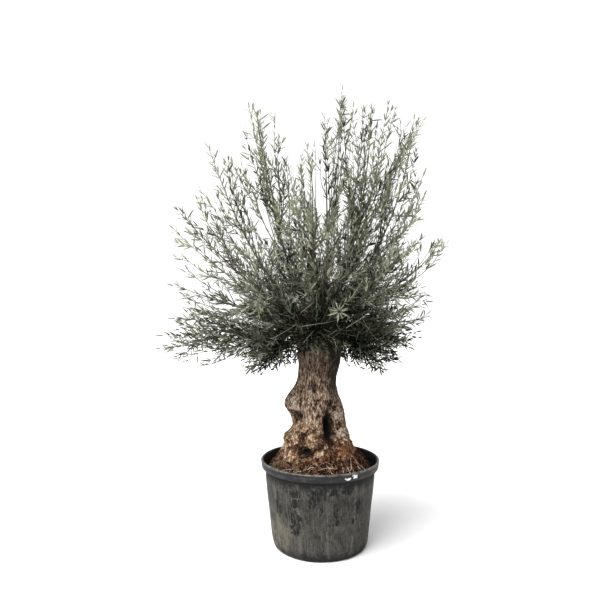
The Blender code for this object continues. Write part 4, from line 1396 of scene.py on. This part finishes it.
def star_spray():
    """The leaves of one pale shoot that points to the front, spread like a star."""
    rng = np.random.default_rng(41)
    turn = GOLDEN_ANGLE * np.arange(STAR_LEAVES) + rng.uniform(-0.25, 0.25, STAR_LEAVES)
    out = np.stack([np.cos(turn), np.zeros(STAR_LEAVES), np.sin(turn)], axis=-1)
    front = np.array([0.0, -1.0, 0.0])
    forward = rng.uniform(-0.1, 0.5, STAR_LEAVES)[:, None]
    direction = unit(out + forward * front + rng.normal(0, 0.10, (STAR_LEAVES, 3)))
    root = STAR_PLACE + 0.006 * out - np.linspace(0.03, 0.0, STAR_LEAVES)[:, None] * front
    return [root, direction, front - 0.6 * out, rng.uniform(*STAR_LENGTHS, STAR_LEAVES)]


def hanging_shoot():
    """One shoot with larger leaves that hangs clear of the crown, left of the trunk."""
    line = bent(HANGING_SHOOT, SHOOT_POINTS)
    root, direction, upper, size = leaf_places([47], line, HANGING_LEAVES_FROM)
    return line, [root, direction, upper, HANGING_LEAF_SIZE * size]


def bark_relief(points):
    """The share by which a bough's rough bark makes it thicker or thinner at each point."""
    shape = points.shape[:2]
    flat = points.reshape(-1, 3)
    return 1.0 + 0.22 * clouds(flat, np.array([60.0, 60.0, 30.0])).reshape(shape)


def make_boughs(lines, starts):
    """Each limb's bark, from the head, over its collar, to where its mass begins."""
    boughs = []
    for limb, line, start in zip(LIMBS, lines, starts):
        end = bough_end(limb, line)
        root = [HEAD + start * reach for reach in (COLLAR_ROOT, 0.5 * COLLAR_REACH, 0.8 * COLLAR_REACH)]
        whole = np.concatenate([root, line[: end + 1] if end else line[:2]])
        length = lengths_along(whole)[-1]
        at = [0.0, 0.8 * COLLAR_REACH - COLLAR_ROOT, COLLAR_REACH - COLLAR_ROOT, length]
        radii = [COLLAR_ROOT_RADIUS, 1.2 * COLLAR_RADIUS, BOUGH_RADIUS, 1.2 * STEM_LOOK]
        points = resampled(whole, int(length / BOUGH_STEP))
        boughs.append(tube(points, np.interp(lengths_along(points), at, radii), BOUGH_SIDES, bark_relief))
    piece = new_piece("boughs", boughs, [bough_material()])
    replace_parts(piece, *(limb[0] + "_bough" for limb in LIMBS if limb[7]))


def make_crown(lines, starts):
    """Stems, wands and shoots on each limb's line, filler wands between them, and all leaves."""
    stems, shoots, sprays = [], [], []
    tint_rng = np.random.default_rng(23)

    def add_spray(seed, line, first, thinned):
        spray = leaf_places(seed, line, first)
        tips = spray[0] + spray[1] * spray[3][:, None]
        keep = clear_of_trunk(tips) & above_skirt(tips) & in_box(tips, LEAF_BEYOND)
        if thinned:
            keep &= tint_rng.uniform(0.0, 1.0, len(tips)) > open_share(tips)
        spray = [values[keep] for values in spray]
        sprays.append((spray, choose_tint(tint_rng, line.mean(axis=0))))

    def add_shoots(seed, line, first, spacing):
        for j, shoot in enumerate(side_shoots([5, *seed], line, first, spacing)):
            if tint_rng.uniform() < open_share(shoot[SHOOT_POINTS // 2 :]).max():
                continue
            shoots.append(tapered(shoot, SHOOT_RADIUS, TWIG_TIP_RADIUS, 3))
            add_spray([6, *seed, j + 1], shoot, SHOOT_LEAVES_FROM, False)

    def add_branch(seed, branch, radius, sides, shoots_from):
        stems.append(tapered(branch, radius, TWIG_TIP_RADIUS, sides))
        add_spray([6, *seed, 0], branch, WAND_LEAVES_FROM, True)
        add_shoots(seed, branch, shoots_from, shoot_spacing(branch))

    for number, limb in enumerate(LIMBS):
        line = lines[number]
        end = bough_end(limb, line)
        stem = line[end:]
        add_branch([number, 0], cut_back(run_on(stem)), STEM_LOOK, 5, WAND_SHOOTS_FROM)
        for k, wand in enumerate(wand_lines(number, limb, stem, lines), 1):
            branch = cut_back(swayed([number, k], run_on(wand)))
            add_branch([number, k], branch, WAND_LOOK, 5, WAND_SHOOTS_FROM)
        if end:
            collar = HEAD + np.outer([0.85 * COLLAR_REACH], starts[number])
            bough = np.concatenate([collar, line[: end + 1]])
            add_shoots([number, 99], bough, BOUGH_SHOOTS_FROM, BOUGH_SHOOT_SPACING)
    for k, wand in enumerate(filler_wands(lines)):
        branch = cut_back(swayed([99, k], run_on(wand)))
        add_branch([99, k], branch, WAND_LOOK, 4, FILLER_SHOOTS_FROM)
    sprays.append((star_spray(), STAR_TINT))
    line, spray = hanging_shoot()
    shoots.append(tapered(line, SHOOT_RADIUS, TWIG_TIP_RADIUS, 3))
    sprays.append((spray, HANGING_TINT))
    bark = mottled_material(TWIG, "stem_bark", *STEM_COLOURS)
    pale = mottled_material(TWIG, "shoot_bark", *SHOOT_COLOURS)
    masses = [limb[0] + "_leaves" for limb in LIMBS]
    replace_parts(new_piece("stems", stems, [bark]), *masses)
    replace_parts(new_piece("shoots", shoots, [pale]), *masses)
    bare = mottled_material(TWIG, "bare_twig_bark", *BARE_TWIG_COLOURS)
    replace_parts(new_piece("bare_twigs", bare_twigs(), [bare]), *masses)
    make_leaves(sprays)


# ---- Stage ----

CAMERA_PLACE = (0.0, -3.70, 1.60)
CAMERA_LENS = 33.0
CAMERA_PITCH = math.radians(0.31)
CAMERA_YAW = math.radians(2.24)
SUN_PLACE = (-3.0, -3.0, 6.0)
SUN_POWER = 5.0
SUN_BREADTH = math.radians(50)
FLOOR_SIZE = 60.0
FLOOR_DROP = 0.0005
FLOOR_GREY = 0.62


def make_stage():
    bpy.ops.mesh.primitive_plane_add(size=FLOOR_SIZE, location=(0.0, 0.0, -FLOOR_DROP))
    floor = bpy.context.object
    floor.name = "floor"
    paint = Paint("floor_white", 0.9, 0.1)
    paint.shader.inputs["Base Color"].default_value = (FLOOR_GREY, FLOOR_GREY, FLOOR_GREY, 1.0)
    floor.data.materials.append(paint.material)
    world = bpy.data.worlds.new("studio")
    world.use_nodes = True
    background = world.node_tree.nodes["Background"]
    background.inputs["Color"].default_value = (1.0, 1.0, 1.0, 1.0)
    background.inputs["Strength"].default_value = 1.0
    bpy.context.scene.world = world


def make_sun():
    """A broad soft light from high on the left, in front."""
    light = bpy.data.lights.new("sun", "SUN")
    light.energy = SUN_POWER
    light.angle = SUN_BREADTH
    piece = bpy.data.objects.new("sun", light)
    piece.rotation_euler = (Vector((0.0, 0.0, 0.0)) - Vector(SUN_PLACE)).to_track_quat("-Z", "Y").to_euler()
    bpy.context.scene.collection.objects.link(piece)


def make_camera():
    camera = bpy.data.cameras.new("camera")
    camera.lens = CAMERA_LENS
    piece = bpy.data.objects.new("camera", camera)
    piece.location = CAMERA_PLACE
    piece.rotation_euler = (math.pi / 2 + CAMERA_PITCH, 0.0, CAMERA_YAW)
    bpy.context.scene.collection.objects.link(piece)
    bpy.context.scene.camera = piece


def main():
    make_pot()
    make_soil()
    make_soil_litter()
    make_trunk()
    starts = limb_starts()
    lines = [limb_line(limb, start) for limb, start in zip(LIMBS, starts)]
    make_boughs(lines, starts)
    make_crown(lines, starts)
    make_stage()
    make_sun()
    make_camera()
    bpy.context.scene.view_settings.view_transform = "Standard"
    bpy.context.scene.view_settings.look = "Medium High Contrast"


main()
